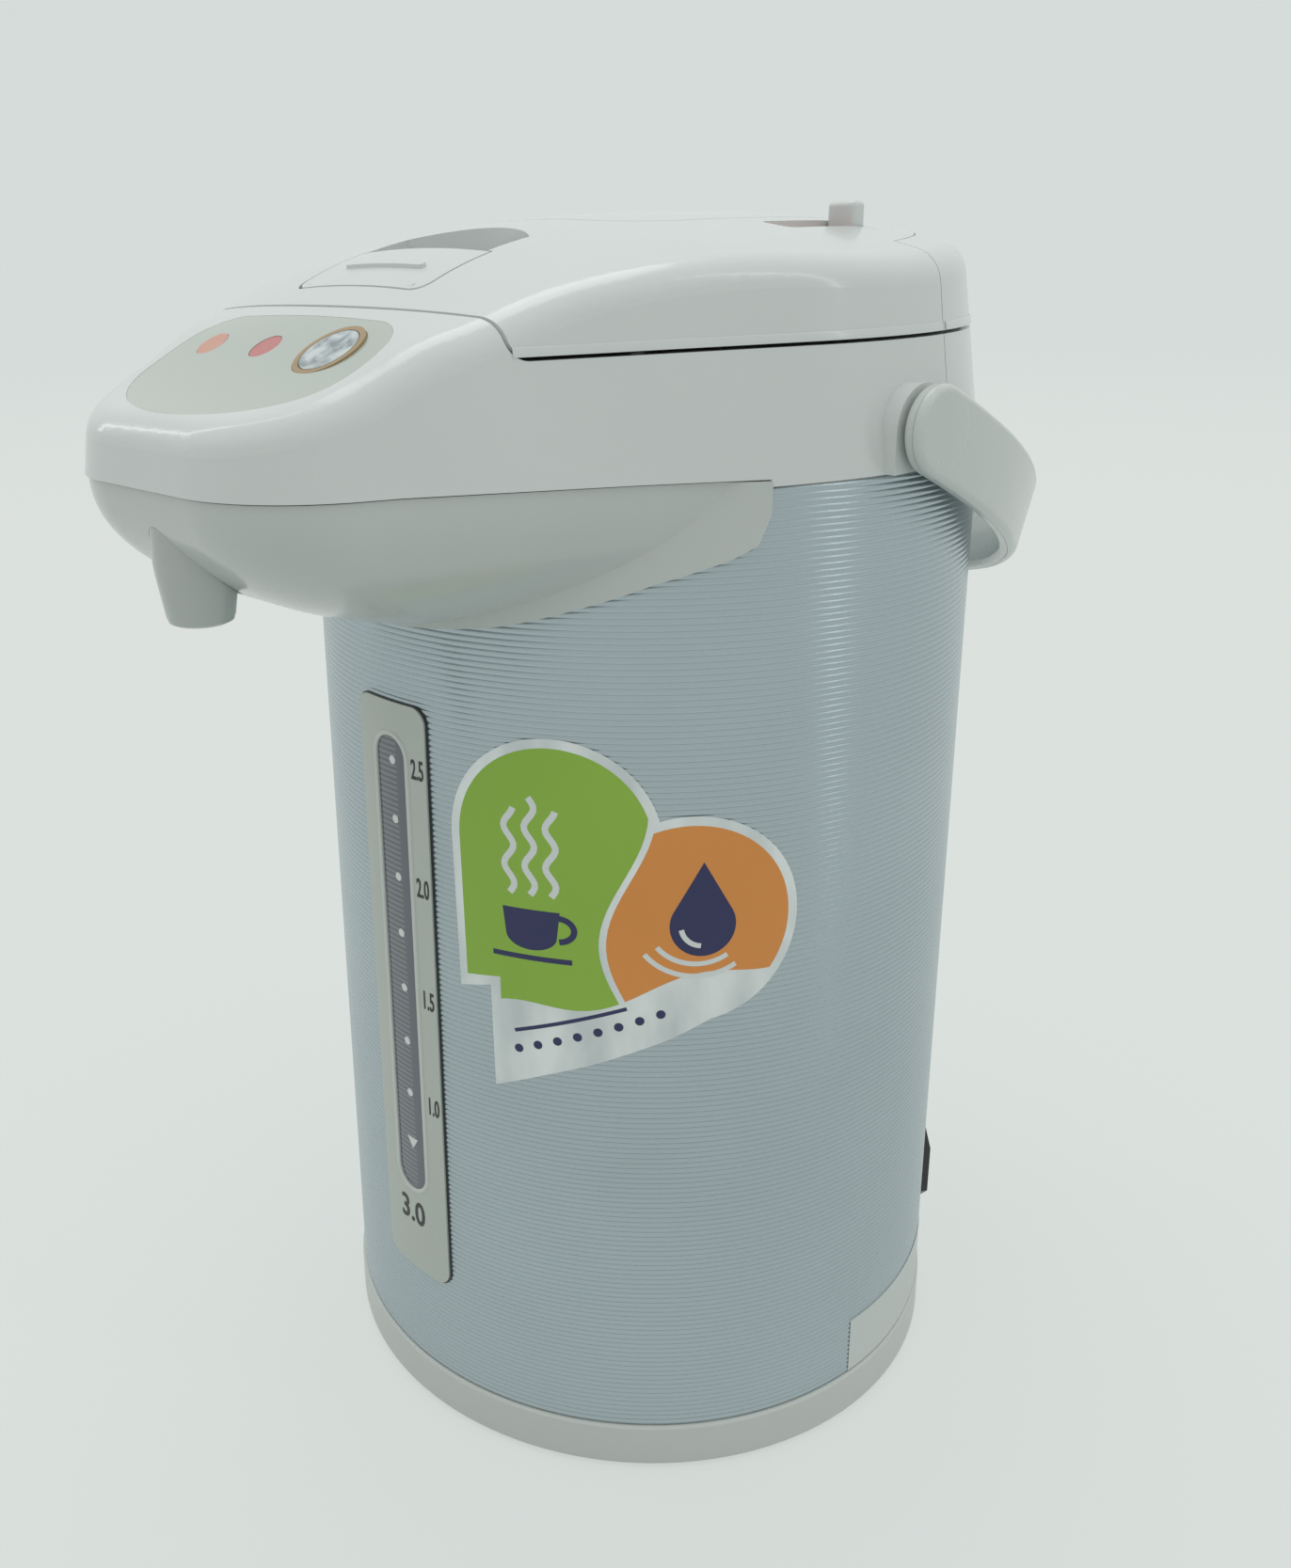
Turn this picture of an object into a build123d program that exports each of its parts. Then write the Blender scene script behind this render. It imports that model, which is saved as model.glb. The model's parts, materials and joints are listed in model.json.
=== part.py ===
from build123d import *
import os
from math import cos, radians, sin, sqrt, tan

# Electric air pot: a hand-pumped, electrically boiled water pot on a turning foot.
# Millimetres. +Z is up, the spout points to -Y, the origin is the body axis at floor level.

os.makedirs("parts", exist_ok=True)

# ---------------------------------------------------------------- clearances
SEAT_GAP = 0.1          # parts that drop into a seat
RUN_GAP = 0.05          # radial play of a pin in its bore
MOVE_GAP = 0.4          # space round a moving cover or plate
SEAM = 0.3              # visible joint between two fixed mouldings

# ---------------------------------------------------------------- body and foot
SLEEVE_R = 90.0         # outside radius of the ribbed metal sleeve
SLEEVE_T = 0.8
SLEEVE_LOW = 14.0       # seam between base ring and sleeve
SHOULDER_Z = 271.4      # seam between sleeve and shoulder housing
BASE_RING_R = 90.8
BASE_RING_T = 2.6
BASE_RING_LOW = 1.2     # the ring hangs just clear of the floor
BASE_RING_EDGE = 0.9    # rounding of the ring's rims
RING_LIP_R = 86.6       # inside of the lip that stands in the sleeve
RING_LIP_H = 3.5
LEDGE_Z = 4.4           # ledge that carries the bottom plate
LEDGE_T = 1.4
LEDGE_R = 84.6
PLATE_R = 86.4
PLATE_T = 2.4           # bottom plate
SWIVEL_R = 82.0
SWIVEL_T = 3.4
SWIVEL_CHAMFER = 0.6
SLIDE_RIB_R = 60.0      # raised ring on which the pot turns
SLIDE_RIB_W = 4.0
HUB_R = 14.0            # hub of the turning foot
HUB_BORE_R = 8.0
RETAINER_R = 21.0
RETAINER_T = 1.6
SCREW_R = 1.4           # shank of the screws
SCREW_HOLE_R = 1.6
SCREW_HEAD_R, SCREW_HEAD_T = 2.5, 1.2
HUB_SCREW_CIRCLE = 11.0
FOOT_RING_R = 76.0
FOOT_RING_W = 8.0
FOOT_RING_T = 1.6

# ---------------------------------------------------------------- water tank
TANK_R = 70.0           # inside radius: a quarter litre for each 16.2 mm of height
TANK_T = 1.0
TANK_FLOOR = 38.3
TANK_NECK_R = 60.0
TANK_CONE_LOW, TANK_CONE_HIGH = 246.0, 256.0
TANK_TOP = 262.0
TANK_FLANGE_R = 75.0
WRAP_T = 3.0            # heat insulation round the tank
WRAP_LOW, WRAP_HIGH = 62.0, 236.0
HEATER_R_IN, HEATER_R_OUT = 26.0, 48.0
HEATER_T = 5.0
THERMOSTAT_R, THERMOSTAT_T = 9.0, 7.0
FUSE_W, FUSE_L, FUSE_T, FUSE_Y = 18.0, 7.0, 4.0, -36.0
FUSE_LEAD_R, FUSE_LEAD_L = 1.2, 34.0
POWER_BOARD_W, POWER_BOARD_L, POWER_BOARD_Y = 70.0, 42.0, 29.0
POWER_BOARD_LIFT = 5.0
BOARD_POST_R, BOARD_POST_X, BOARD_POST_Y = 3.0, 28.0, 15.0
POWER_PARTS = (          # transformer, relay and connector: width, length, height, x, y
    (16.0, 20.0, 11.4, -20.0, 30.0), (18.0, 16.0, 9.4, 8.0, 24.0), (10.0, 24.0, 6.4, 28.0, 30.0),
)
CAPACITOR_R, CAPACITOR_H = 4.0, 8.4
OUTLET_Y = -57.0        # water outlet in the tank floor
OUTLET_R = 5.0
OUTLET_BORE_R = 3.5
OUTLET_LEN = 4.3
BRACKET_R_IN, BRACKET_R_OUT = 64.5, 71.0
BRACKET_T = 2.0
LEG_CIRCLE = 69.0        # circle of the bracket's legs and of the bottom screws
LEG_R = 3.4
SCREW_BITE = 6.0         # depth of a screw in what it holds
LID_SCREW_BITE = 10.0
LEG_ANGLES = (60.0, 180.0, 300.0)

# ---------------------------------------------------------------- head (shoulder housing and lid)
HEAD_R = 90.0           # rear of the head, at the sleeve seam
NOSE_R = 33.5           # corner radius of the nose
NOSE_X = 17.6           # centres of the nose corners
NOSE_Y = -119.5
DRAFT = 8.0             # side walls lean in, degrees
HEAD_TOP = 342.0        # the drafted block reaches above the top surface
EDGE_R = 9.0            # rounding between side walls and top
CROWN_R = 280.0         # sideways crown of the lid
FLAT_Y, CROWN_Y = -118.0, -96.0   # the crown fades out between the lid and the panel
SKIN = 2.2              # thickness of the head mouldings
TOP_LINE = [            # height of the top surface along the centre line, (y, z)
    (-160, 289.6), (-146, 291.8), (-134, 295.6), (-122, 300.9), (-109.5, 307.8), (-101.5, 311.9),
    (-85, 319.4), (-60, 326.0), (-25, 330.1), (0, 330.6), (30, 330.3), (60, 326.8), (96, 315.5),
]
LID_GAP_Z = 301.4       # middle of the gap under the lid
LID_GAP = 0.8
LID_FRONT_Y = -102.5    # the lid's front edge, on the centre line
LID_EDGE_R = 300.0      # the front edge is bowed
LID_CORNER_R = 4.0      # rounding between the gap under the lid and its front edge
REAR_SEAM_Y = 15.5      # the rear covers start here
REAR_SEAM_R = 71.0      # the lid's rear cover ends here, behind the push plate
DECK_T = 2.6
DECK_HOLE_R = 74.0
LIP_R = 87.4            # inside of the shoulder's lip in the sleeve
LIP_H = 5.4
CHIN_SEAM = [(-42.0, 273.0), (-72.0, 274.3), (-122.0, 276.0), (-160.0, 276.3)]

# chin: the nose outline shrinks towards a point on the sleeve's front as it goes down
CHIN_INSET = 1.5        # the chin stands back from the shoulder's skirt
CHIN_TOP = 276.3
CHIN_DEPTH = 41.0
CHIN_CENTRE_Y = -50.0
CHIN_POWER = 2.2
CHIN_STEPS = (0.0, 6.0, 12.0, 18.0, 23.0, 28.0, 32.0, 36.0)
CHIN_T = 2.0
WRAP_FLAP_T = 1.3       # flaps of the chin that lie on the sleeve
FLAP_LINE = [           # lower edge of the flaps, (y, z)
    (-42.0, 272.0), (-42.4, 265.3), (-44.9, 258.8), (-49.9, 256.0), (-63.8, 250.8),
    (-75.2, 244.9), (-84.3, 239.8), (-92.0, 236.3),
]

# ---------------------------------------------------------------- spout and water way
PIPE_Y = -82.0          # vertical water pipe, in front of the tank
TUBE_R = 5.0            # glass tube of the level gauge
TUBE_BORE_R = 3.5
TUBE_LOW, TUBE_HIGH = 54.0, 226.0
HOSE_R = 7.0
HOSE_Z = 24.0
HOSE_TOP = 37.1
HOSE_BEND = 8.5
VALVE_R = 6.5
VALVE_LOW, VALVE_HIGH = 222.0, 251.0
VALVE_SEAT_Z = 229.0
CHAMBER_R = 3.6
BALL_R = 3.0
BALL_RISE = 10.0          # height that the ball can rise in its chamber
PIPE_R = 5.2
PIPE_BORE_R = 3.4
PIPE_LOW = 247.0
PIPE_TOP_Z = 283.1
PIPE_BEND = 9.0
SPOUT_Y = -140.5
SPOUT_R_LOW, SPOUT_R_HIGH = 7.6, 9.4
SPOUT_LOW, SPOUT_HIGH = 245.4, 267.0
PIPE_END_Z = 254.0

# ---------------------------------------------------------------- level gauge
GAUGE_W = 26.4
GAUGE_LOW, GAUGE_HIGH = 45.0, 216.0
GAUGE_T = 0.9
GAUGE_CORNER = 4.5
SLOT_W = 11.6
SLOT_LOW, SLOT_HIGH = 72.0, 207.0
WINDOW_T = 1.6
WINDOW_LIP = 1.5

# ---------------------------------------------------------------- control panel
PANEL_T = 0.8
PANEL_SIDE = [            # right half of the panel's outline
    (25.0, -106.3), (32.0, -107.8), (36.6, -112.0), (38.4, -119.5), (36.8, -129.3), (26.5, -139.3), (0.0, -145.8),
]
PANEL_TILT = 30.0       # slope of the panel where the button and lamps sit, degrees
BUTTON_X, BUTTON_Y, BUTTON_Z = 22.2, -117.0, 303.2
BUTTON_R = 7.1
BUTTON_RING_R = 8.7
STEM_LEN = 11.8
STEM_R = 2.0
LAMP_R = 4.1
LAMPS = (("boil_lamp", -2.2), ("keep_warm_lamp", -24.7))
LAMP_LEN = 5.0
BOARD_Z = 288.6
BOARD_T = 1.6
BOARD_W, BOARD_L = 76.0, 26.0
BOARD_Y = -117.0
POST_R = 2.6
POST_X, POST_STEP = 34.5, 8.0

# ---------------------------------------------------------------- lid details
WELL_WALL = 1.6
WELL_FLOOR = 308.6      # underside of the well's floor
LEVER_HALF_W = 24.0
LEVER_FRONT_Y, LEVER_REAR_Y = -94.0, -73.0
LEVER_PIVOT_Y, LEVER_PIVOT_Z = -91.5, 314.0
LEVER_PIN_R = 1.1
LEVER_BOSS_R = 2.0
RIDGE_Y, RIDGE_HALF_W = -84.7, 14.5
RECESS_HALF_W = 22.5
RECESS_SIDE_Y, RECESS_REAR_Y = -60.0, -52.0
LATCH_LOW, LATCH_T = 304.8, 3.2
LATCH_HALF_W = 9.0
LATCH_FRONT_Y, LATCH_REAR_Y = -102.0, -80.0
LATCH_SLOT = 1.8         # half length of the slot that the tongue works in
TONGUE_T = 2.0
TONGUE_HALF_W = 3.0
PUSH_HALF_W = 36.0
PUSH_FRONT_Y, PUSH_REAR_Y = -38.0, 50.0
PUSH_CORNER = 18.0
PUSH_BOSS_R = 14.0
PUSH_RIM = 2.0
LOCK_X = 47.5
LOCK_W = 9.4
LOCK_FRONT_Y, LOCK_REAR_Y = -3.0, 28.5
LOCK_FLOOR_Z = 322.8
LOCK_WALL = 1.4
LOCK_SLIT_W = 3.2
KNOB_W, KNOB_L = 8.6, 5.2
KNOB_TOP = 331.8
STRIP_T = 0.6
CUP_R = 50.0            # cup in the lid that holds the bellows
CUP_T = 2.0
CUP_FLOOR = 268.0       # underside of the cup
CUP_FLANGE_R = 62.0
LID_PLATE_Z = 302.6
LID_PLATE_T = 2.0
LID_PLATE_FRONT = -86.5
SCREW_POSTS = ((54.0, -58.0), (-54.0, -58.0), (45.0, 45.0), (-45.0, 45.0))
BELLOWS_R = 44.0
BELLOWS_TOP = 298.0
BELLOWS_FOLDS = 4
BELLOWS_WALL = 1.4
BELLOWS_FOLD = 6.0
CAP_T = 2.0
SPRING_R = 20.0
SPRING_WIRE_R = 0.9
SPRING_PITCH = 6.4
AIR_VALVE_R = 8.0
INNER_LID_R = 55.5
INNER_LID_T = 1.0
GASKET_R = 63.5
GASKET_LOW = 265.25
HINGE_Y, HINGE_Z = 80.8, 307.0
HINGE_PIN_R = 1.2
KNUCKLE_R = 2.4
KNUCKLE_MID = 4.5       # half width of the middle knuckle
HINGE_HALF_W = 10.0
HINGE_POST_L = 4.2
TROUGH_R = 7.4          # room for the lid's rear edge as it swings down
TROUGH_HALF_W = 30.0
COLLAR_R_IN, COLLAR_R_OUT = 71.5, 73.5
COLLAR_LOW_R = 62.5
COLLAR_BASE_T = 2.2
COLLAR_FLANGE_R = 80.0

# ---------------------------------------------------------------- carrying handle
PIVOT_Y, PIVOT_Z = -1.5, 281.0
HANDLE_TILT = 24.0      # the handle hangs back and down, degrees
HANDLE_PATH = [(95.3, 0.0), (94.4, 18.0), (91.6, 38.0), (85.0, 60.0), (74.0, 82.0), (56.0, 104.0),
               (32.0, 120.0), (0.0, 126.0)]
HANDLE_W = 21.0
HANDLE_T = 5.0
HANDLE_COVER_T = 1.4
PIN_R = 4.0
PIN_HEAD_R = 6.5
PAD_R = 10.5            # raised pad on the shoulder behind each pivot, straight below the pivot
PAD_X = 91.6
PAD_INSIDE_X = 84.0

# ---------------------------------------------------------------- electric parts
SOCKET_AZ = 145.0       # degrees from the front, round the body
SOCKET_W = 38.0
SOCKET_LOW, SOCKET_HIGH = 22.0, 52.0
SOCKET_FACE = 92.2
SOCKET_BACK = 74.5
SOCKET_BODY_W = 32.0
SOCKET_POCKET_W, SOCKET_POCKET_H, SOCKET_POCKET_D = 26.0, 13.0, 9.0
PRONG_R = 1.6
PRONG_X = 6.5

# ---------------------------------------------------------------- labels
STICKER_T = 0.15
STICKER_AZ = 41.0
STICKER_LOBES = ((-16.8, 186.0, 27.2, 27.3), (17.0, 167.2, 25.7, 27.4))   # (across, z, radii)
STICKER_FOOT = [(-44.0, 186.0), (-41.7, 143.2), (-33.4, 146.6), (-32.7, 116.6), (-19.6, 122.3), (-6.8, 127.2),
                (12.6, 135.2), (28.2, 143.5), (30.0, 168.0), (-16.8, 190.0)]
LABEL_AZ = (86.0, 122.0)
LABEL_LOW, LABEL_HIGH = 14.6, 32.0


# ---------------------------------------------------------------- shapes used again and again
def column(radius, low, high, x=0.0, y=0.0):
    with BuildPart() as body:
        with BuildSketch(Plane.XY.offset(low)):
            with Locations((x, y)):
                Circle(radius)
        extrude(amount=high - low)
    return body.part


def slab(width, depth, low, high, x=0.0, y=0.0, corner=0.0):
    with BuildPart() as body:
        with BuildSketch(Plane.XY.offset(low)):
            with Locations((x, y)):
                if corner:
                    RectangleRounded(width, depth, corner)
                else:
                    Rectangle(width, depth)
        extrude(amount=high - low)
    return body.part


def turned(profile):
    """Solid of revolution about Z from (radius, z) points."""
    with BuildPart() as body:
        with BuildSketch(Plane.XZ):
            with BuildLine():
                Polyline(*profile, close=True)
            make_face()
        revolve(axis=Axis.Z)
    return body.part


def band(r_out, r_in, low, high):
    return turned([(r_in, low), (r_out, low), (r_out, high), (r_in, high)])


def side_block(points):
    """Block across the whole width from a (y, z) outline."""
    with BuildPart() as body:
        with BuildSketch(Plane.YZ):
            with BuildLine():
                Polyline(*points, close=True)
            make_face()
        extrude(amount=120, both=True)
    return body.part


def prism(points, low, high):
    with BuildPart() as body:
        with BuildSketch(Plane.XY.offset(low)):
            with BuildLine():
                Polyline(*points, close=True)
            make_face()
        extrude(amount=high - low)
    return body.part


def pipe(points, radius, bore, bend):
    """Bent round pipe along (y, z) points."""
    with BuildPart() as body:
        with BuildLine(Plane.YZ) as route:
            line = Polyline(*points)
            fillet(line.vertices()[1:-1], bend)
        start = route.wire()
        with BuildSketch(Plane(origin=start @ 0, z_dir=start % 0)):
            Circle(radius)
            Circle(bore, mode=Mode.SUBTRACT)
        sweep(path=start)
    return body.part


def cross_rod(radius, x_low, x_high, y, z):
    """Round rod along X."""
    with BuildPart() as body:
        with BuildSketch(Plane.YZ.offset(x_low)):
            with Locations((y, z)):
                Circle(radius)
        extrude(amount=x_high - x_low)
    return body.part


def around(azimuth, radius):
    """Point on a circle round the body, azimuth from the front towards +X."""
    return (radius * sin(radians(azimuth)), -radius * cos(radians(azimuth)))


def sector(az_low, az_high, reach, low, high):
    """Pie slice between two azimuths."""
    steps = 8
    fan = [around(az_low + (az_high - az_low) * i / steps, reach) for i in range(steps + 1)]
    return prism([(0.0, 0.0)] + fan, low, high)


def save(part, label):
    part.label = label
    export_step(part, f"parts/{label}.step")


# ---------------------------------------------------------------- the head's outside form
def inset_at(z, inset):
    """How far the drafted side wall stands in from the head's outline at height z."""
    return inset + (z - SHOULDER_Z) * tan(radians(DRAFT))


def outline_circles(inset):
    """Circles whose hull is the head seen from above."""
    CenterArc((0, 0), HEAD_R - inset, 0, 360)
    for side in (-1, 1):
        CenterArc((side * NOSE_X, NOSE_Y), NOSE_R - inset, 0, 360)


def crown_share(y):
    return min(1.0, max(0.15, (y - FLAT_Y) / (CROWN_Y - FLAT_Y)))


def top_form(drop):
    """Block under the crowned top surface, lowered by drop."""
    with BuildPart() as block:
        for x in (-96, -48, 0, 48, 96):
            crown = x * x / (2 * CROWN_R)
            roof_line = [(y, z - drop - crown * crown_share(y)) for y, z in TOP_LINE]
            with BuildSketch(Plane.YZ.offset(x)):
                with BuildLine():
                    roof = Spline(roof_line)
                    Polyline(roof @ 1, (TOP_LINE[-1][0], 200), (TOP_LINE[0][0], 200), roof @ 0)
                make_face()
        loft()
    return block.part


def head_form(inset):
    """The whole head as one rounded block, all its faces set in by inset."""
    with BuildPart() as head:
        for z in (SHOULDER_Z, HEAD_TOP):
            with BuildSketch(Plane.XY.offset(z)):
                with BuildLine():
                    outline_circles(inset_at(z, inset))
                make_hull()
        loft(ruled=True)
        add(top_form(inset), mode=Mode.INTERSECT)
        top = head.faces().sort_by(Axis.Z)[-1]
        fillet(top.edges(), EDGE_R - inset)
    return head.part


def above_gap(lift):
    """Everything inside the lid's parting surface, moved square to it by lift."""
    with BuildPart() as body:
        add(column(LID_EDGE_R - lift, LID_GAP_Z + lift, 420, 0, LID_FRONT_Y + LID_EDGE_R))
        fillet(body.edges().filter_by(GeomType.CIRCLE).sort_by(Axis.Z)[0], LID_CORNER_R - lift)
    return body.part


def rounded_outline(shrink, low, high):
    """Outline of the push plate as a block, smaller by shrink."""
    return slab(
        2 * (PUSH_HALF_W - shrink), PUSH_REAR_Y - PUSH_FRONT_Y - 2 * shrink, low, high,
        0.0, (PUSH_REAR_Y + PUSH_FRONT_Y) / 2, PUSH_CORNER - shrink,
    )


OUTER = head_form(0)
MIDDLE = head_form(SKIN / 2)
INNER = head_form(SKIN)
INNER_SEAT = head_form(SKIN + SEAT_GAP)
HEAD_SHELL = OUTER - INNER

ABOVE_LID_EDGE = above_gap(LID_GAP / 2)
ABOVE_SHOULDER_EDGE = above_gap(-LID_GAP / 2)

REAR_HALF = slab(240, 120, 200, 420, 0.0, REAR_SEAM_Y + 60)
REAR_LID_ZONE = slab(240, 120, 290, 420, 0.0, REAR_SEAM_Y + 60) - column(REAR_SEAM_R, 290, 420)
REAR_LID_CUT = (
    slab(240, 120, 290, 420, 0.0, REAR_SEAM_Y + 60 - SEAM) - column(REAR_SEAM_R - SEAM, 290, 420)
)

# ================================================================ foot
slide_top = LEDGE_Z + LEDGE_T - SEAT_GAP
plate_low = LEDGE_Z + LEDGE_T
plate_top = plate_low + PLATE_T
hub_top = plate_top + MOVE_GAP

with BuildPart() as swivel_base:
    add(column(SWIVEL_R, 0, SWIVEL_T))
    add(band(SLIDE_RIB_R + SLIDE_RIB_W, SLIDE_RIB_R, SWIVEL_T - 0.5, slide_top))
    add(column(HUB_R, 0, hub_top))
    add(column(HUB_BORE_R, SWIVEL_T, hub_top + 1), mode=Mode.SUBTRACT)
    add(band(FOOT_RING_R, FOOT_RING_R - FOOT_RING_W, -1, FOOT_RING_T), mode=Mode.SUBTRACT)
    for angle in LEG_ANGLES:
        x, y = around(angle, HUB_SCREW_CIRCLE)
        add(column(SCREW_R, SWIVEL_T, hub_top + 1, x, y), mode=Mode.SUBTRACT)
    chamfer(swivel_base.edges().filter_by(GeomType.CIRCLE).sort_by(SortBy.RADIUS)[-2:], SWIVEL_CHAMFER)
save(swivel_base.part, "swivel_base")

with BuildPart() as foot_ring:
    add(band(FOOT_RING_R - SEAT_GAP, FOOT_RING_R - FOOT_RING_W + SEAT_GAP, 0, FOOT_RING_T))
save(foot_ring.part, "foot_ring")

with BuildPart() as swivel_retainer:
    add(band(RETAINER_R, HUB_BORE_R, hub_top, hub_top + RETAINER_T))
    for angle in LEG_ANGLES:
        x, y = around(angle, HUB_SCREW_CIRCLE)
        add(column(SCREW_HOLE_R, hub_top - 1, hub_top + 9, x, y), mode=Mode.SUBTRACT)
save(swivel_retainer.part, "swivel_retainer")


def screw(x, y, head_z, tip_z):
    """Pan-head screw along Z; the head lies on the far side of head_z from the tip."""
    head_end = head_z + SCREW_HEAD_T if tip_z < head_z else head_z - SCREW_HEAD_T
    head = column(SCREW_HEAD_R, min(head_z, head_end), max(head_z, head_end), x, y)
    shank = column(SCREW_R, min(head_z, tip_z), max(head_z, tip_z), x, y)
    return head + shank


with BuildPart() as hub_screws:
    for angle in LEG_ANGLES:
        x, y = around(angle, HUB_SCREW_CIRCLE)
        add(screw(x, y, hub_top + RETAINER_T, SWIVEL_T + SEAT_GAP))
save(hub_screws.part, "hub_screws")

with BuildPart() as base_ring:
    add(band(BASE_RING_R, BASE_RING_R - BASE_RING_T, BASE_RING_LOW, SLEEVE_LOW))
    lip_r = SLEEVE_R - SLEEVE_T - SEAT_GAP
    add(band(lip_r, RING_LIP_R, SLEEVE_LOW - 2.0, SLEEVE_LOW + RING_LIP_H))
    add(band(BASE_RING_R - 1.0, LEDGE_R, LEDGE_Z, LEDGE_Z + LEDGE_T))
    ring_rims = base_ring.edges().filter_by(GeomType.CIRCLE).sort_by(SortBy.RADIUS)[-2:]
    fillet(ring_rims, BASE_RING_EDGE)
save(base_ring.part, "base_ring")

with BuildPart() as bottom_plate:
    add(band(PLATE_R, HUB_R + RUN_GAP, plate_low, plate_top))
    for angle in LEG_ANGLES:
        x, y = around(angle, LEG_CIRCLE)
        add(column(SCREW_HOLE_R, 0, 20, x, y), mode=Mode.SUBTRACT)
    for x in (-BOARD_POST_X, BOARD_POST_X):
        for y in (POWER_BOARD_Y - BOARD_POST_Y, POWER_BOARD_Y + BOARD_POST_Y):
            add(column(BOARD_POST_R, plate_top - 0.5, plate_top + POWER_BOARD_LIFT, x, y))
save(bottom_plate.part, "bottom_plate")

with BuildPart() as bottom_screws:
    for angle in LEG_ANGLES:
        x, y = around(angle, LEG_CIRCLE)
        add(screw(x, y, plate_low, plate_top + SCREW_BITE))
save(bottom_screws.part, "bottom_screws")

# ================================================================ tank and heating
tank_wall = TANK_R + TANK_T
neck_low = TANK_CONE_LOW - 0.4
with BuildPart() as inner_tank:
    add(turned([
        (0, TANK_FLOOR - TANK_T), (tank_wall, TANK_FLOOR - TANK_T), (tank_wall, neck_low),
        (TANK_R, neck_low), (TANK_R, TANK_FLOOR), (0, TANK_FLOOR),
    ]))
    add(column(OUTLET_R, TANK_FLOOR - TANK_T - OUTLET_LEN, TANK_FLOOR - 0.5, 0, OUTLET_Y))
    add(column(OUTLET_BORE_R, 0, TANK_FLOOR + 1, 0, OUTLET_Y), mode=Mode.SUBTRACT)
save(inner_tank.part, "inner_tank")

with BuildPart() as tank_neck:
    neck = TANK_NECK_R + TANK_T
    add(turned([
        (TANK_R, neck_low), (tank_wall, neck_low), (tank_wall, TANK_CONE_LOW),
        (neck, TANK_CONE_HIGH), (neck, TANK_TOP), (TANK_FLANGE_R, TANK_TOP),
        (TANK_FLANGE_R, TANK_TOP + TANK_T), (TANK_NECK_R, TANK_TOP + TANK_T),
        (TANK_NECK_R, TANK_CONE_HIGH - 0.4),
    ]))
save(tank_neck.part, "tank_neck")

with BuildPart() as insulation:
    add(band(TANK_R + TANK_T + WRAP_T, TANK_R + TANK_T, WRAP_LOW, WRAP_HIGH))
save(insulation.part, "insulation")

with BuildPart() as heater_plate:
    heater_top = TANK_FLOOR - TANK_T
    add(band(HEATER_R_OUT, HEATER_R_IN, heater_top - HEATER_T, heater_top))
    for x in (-1, 1):
        add(column(2.0, heater_top - HEATER_T - 5, heater_top - 1, x * 8, 37))
save(heater_plate.part, "heater_plate")

with BuildPart() as thermostat:
    thermostat_low = heater_top - THERMOSTAT_T
    add(column(THERMOSTAT_R, thermostat_low, heater_top))
    add(slab(2 * THERMOSTAT_R + 4, 5, thermostat_low - 1.5, thermostat_low + 0.5))
save(thermostat.part, "thermostat")

with BuildPart() as thermal_fuse:
    fuse_top = heater_top - HEATER_T
    add(slab(FUSE_W, FUSE_L, fuse_top - FUSE_T, fuse_top, 0, FUSE_Y))
    add(cross_rod(FUSE_LEAD_R, -FUSE_LEAD_L / 2, FUSE_LEAD_L / 2, FUSE_Y, fuse_top - FUSE_T / 2))
save(thermal_fuse.part, "thermal_fuse")

with BuildPart() as tank_bracket:
    ring_top = TANK_FLOOR - TANK_T
    add(band(BRACKET_R_OUT, BRACKET_R_IN, ring_top - BRACKET_T, ring_top))
    for angle in LEG_ANGLES:
        x, y = around(angle, LEG_CIRCLE)
        add(column(LEG_R, plate_top, ring_top - BRACKET_T + 0.5, x, y))
        add(column(SCREW_R + RUN_GAP, plate_top - 1, plate_top + SCREW_BITE + 1, x, y), mode=Mode.SUBTRACT)
save(tank_bracket.part, "tank_bracket")

with BuildPart() as power_board:
    board_low = plate_top + POWER_BOARD_LIFT
    parts_low = board_low + BOARD_T
    add(slab(POWER_BOARD_W, POWER_BOARD_L, board_low, parts_low, 0, POWER_BOARD_Y))
    for width, length, height, x, y in POWER_PARTS:
        add(slab(width, length, parts_low - 0.2, parts_low + height, x, y))
    add(column(CAPACITOR_R, parts_low - 0.2, parts_low + CAPACITOR_H, 8, 42))
save(power_board.part, "power_board")

# ================================================================ sleeve, gauge and water way
def gauge_block(width, height, corner):
    with BuildPart() as body:
        with BuildSketch(Plane.XZ.offset(60)):
            with Locations((0, (GAUGE_LOW + GAUGE_HIGH) / 2)):
                RectangleRounded(width, height, corner)
        extrude(amount=50)
    return body.part


def slot_block(grow):
    with BuildPart() as body:
        with BuildSketch(Plane.XZ.offset(60)):
            with Locations((0, (SLOT_LOW + SLOT_HIGH) / 2)):
                SlotOverall(SLOT_HIGH - SLOT_LOW + 2 * grow, SLOT_W + 2 * grow, rotation=90)
        extrude(amount=50)
    return body.part


def azimuth_block(azimuth, width, low, high, near, far, top_chamfer=0.0):
    """Block standing on the body at an azimuth, between two distances from the axis."""
    with BuildPart() as body:
        x_dir = (cos(radians(azimuth)), sin(radians(azimuth)), 0)
        z_dir = (sin(radians(azimuth)), -cos(radians(azimuth)), 0)
        face = Plane(origin=(0, 0, 0), x_dir=x_dir, z_dir=z_dir)
        with BuildSketch(face.offset(near)) as outline:
            with Locations((0, (low + high) / 2)):
                Rectangle(width, high - low)
            if top_chamfer:
                chamfer(outline.vertices(), top_chamfer)
        extrude(amount=far - near)
    return body.part


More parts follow.
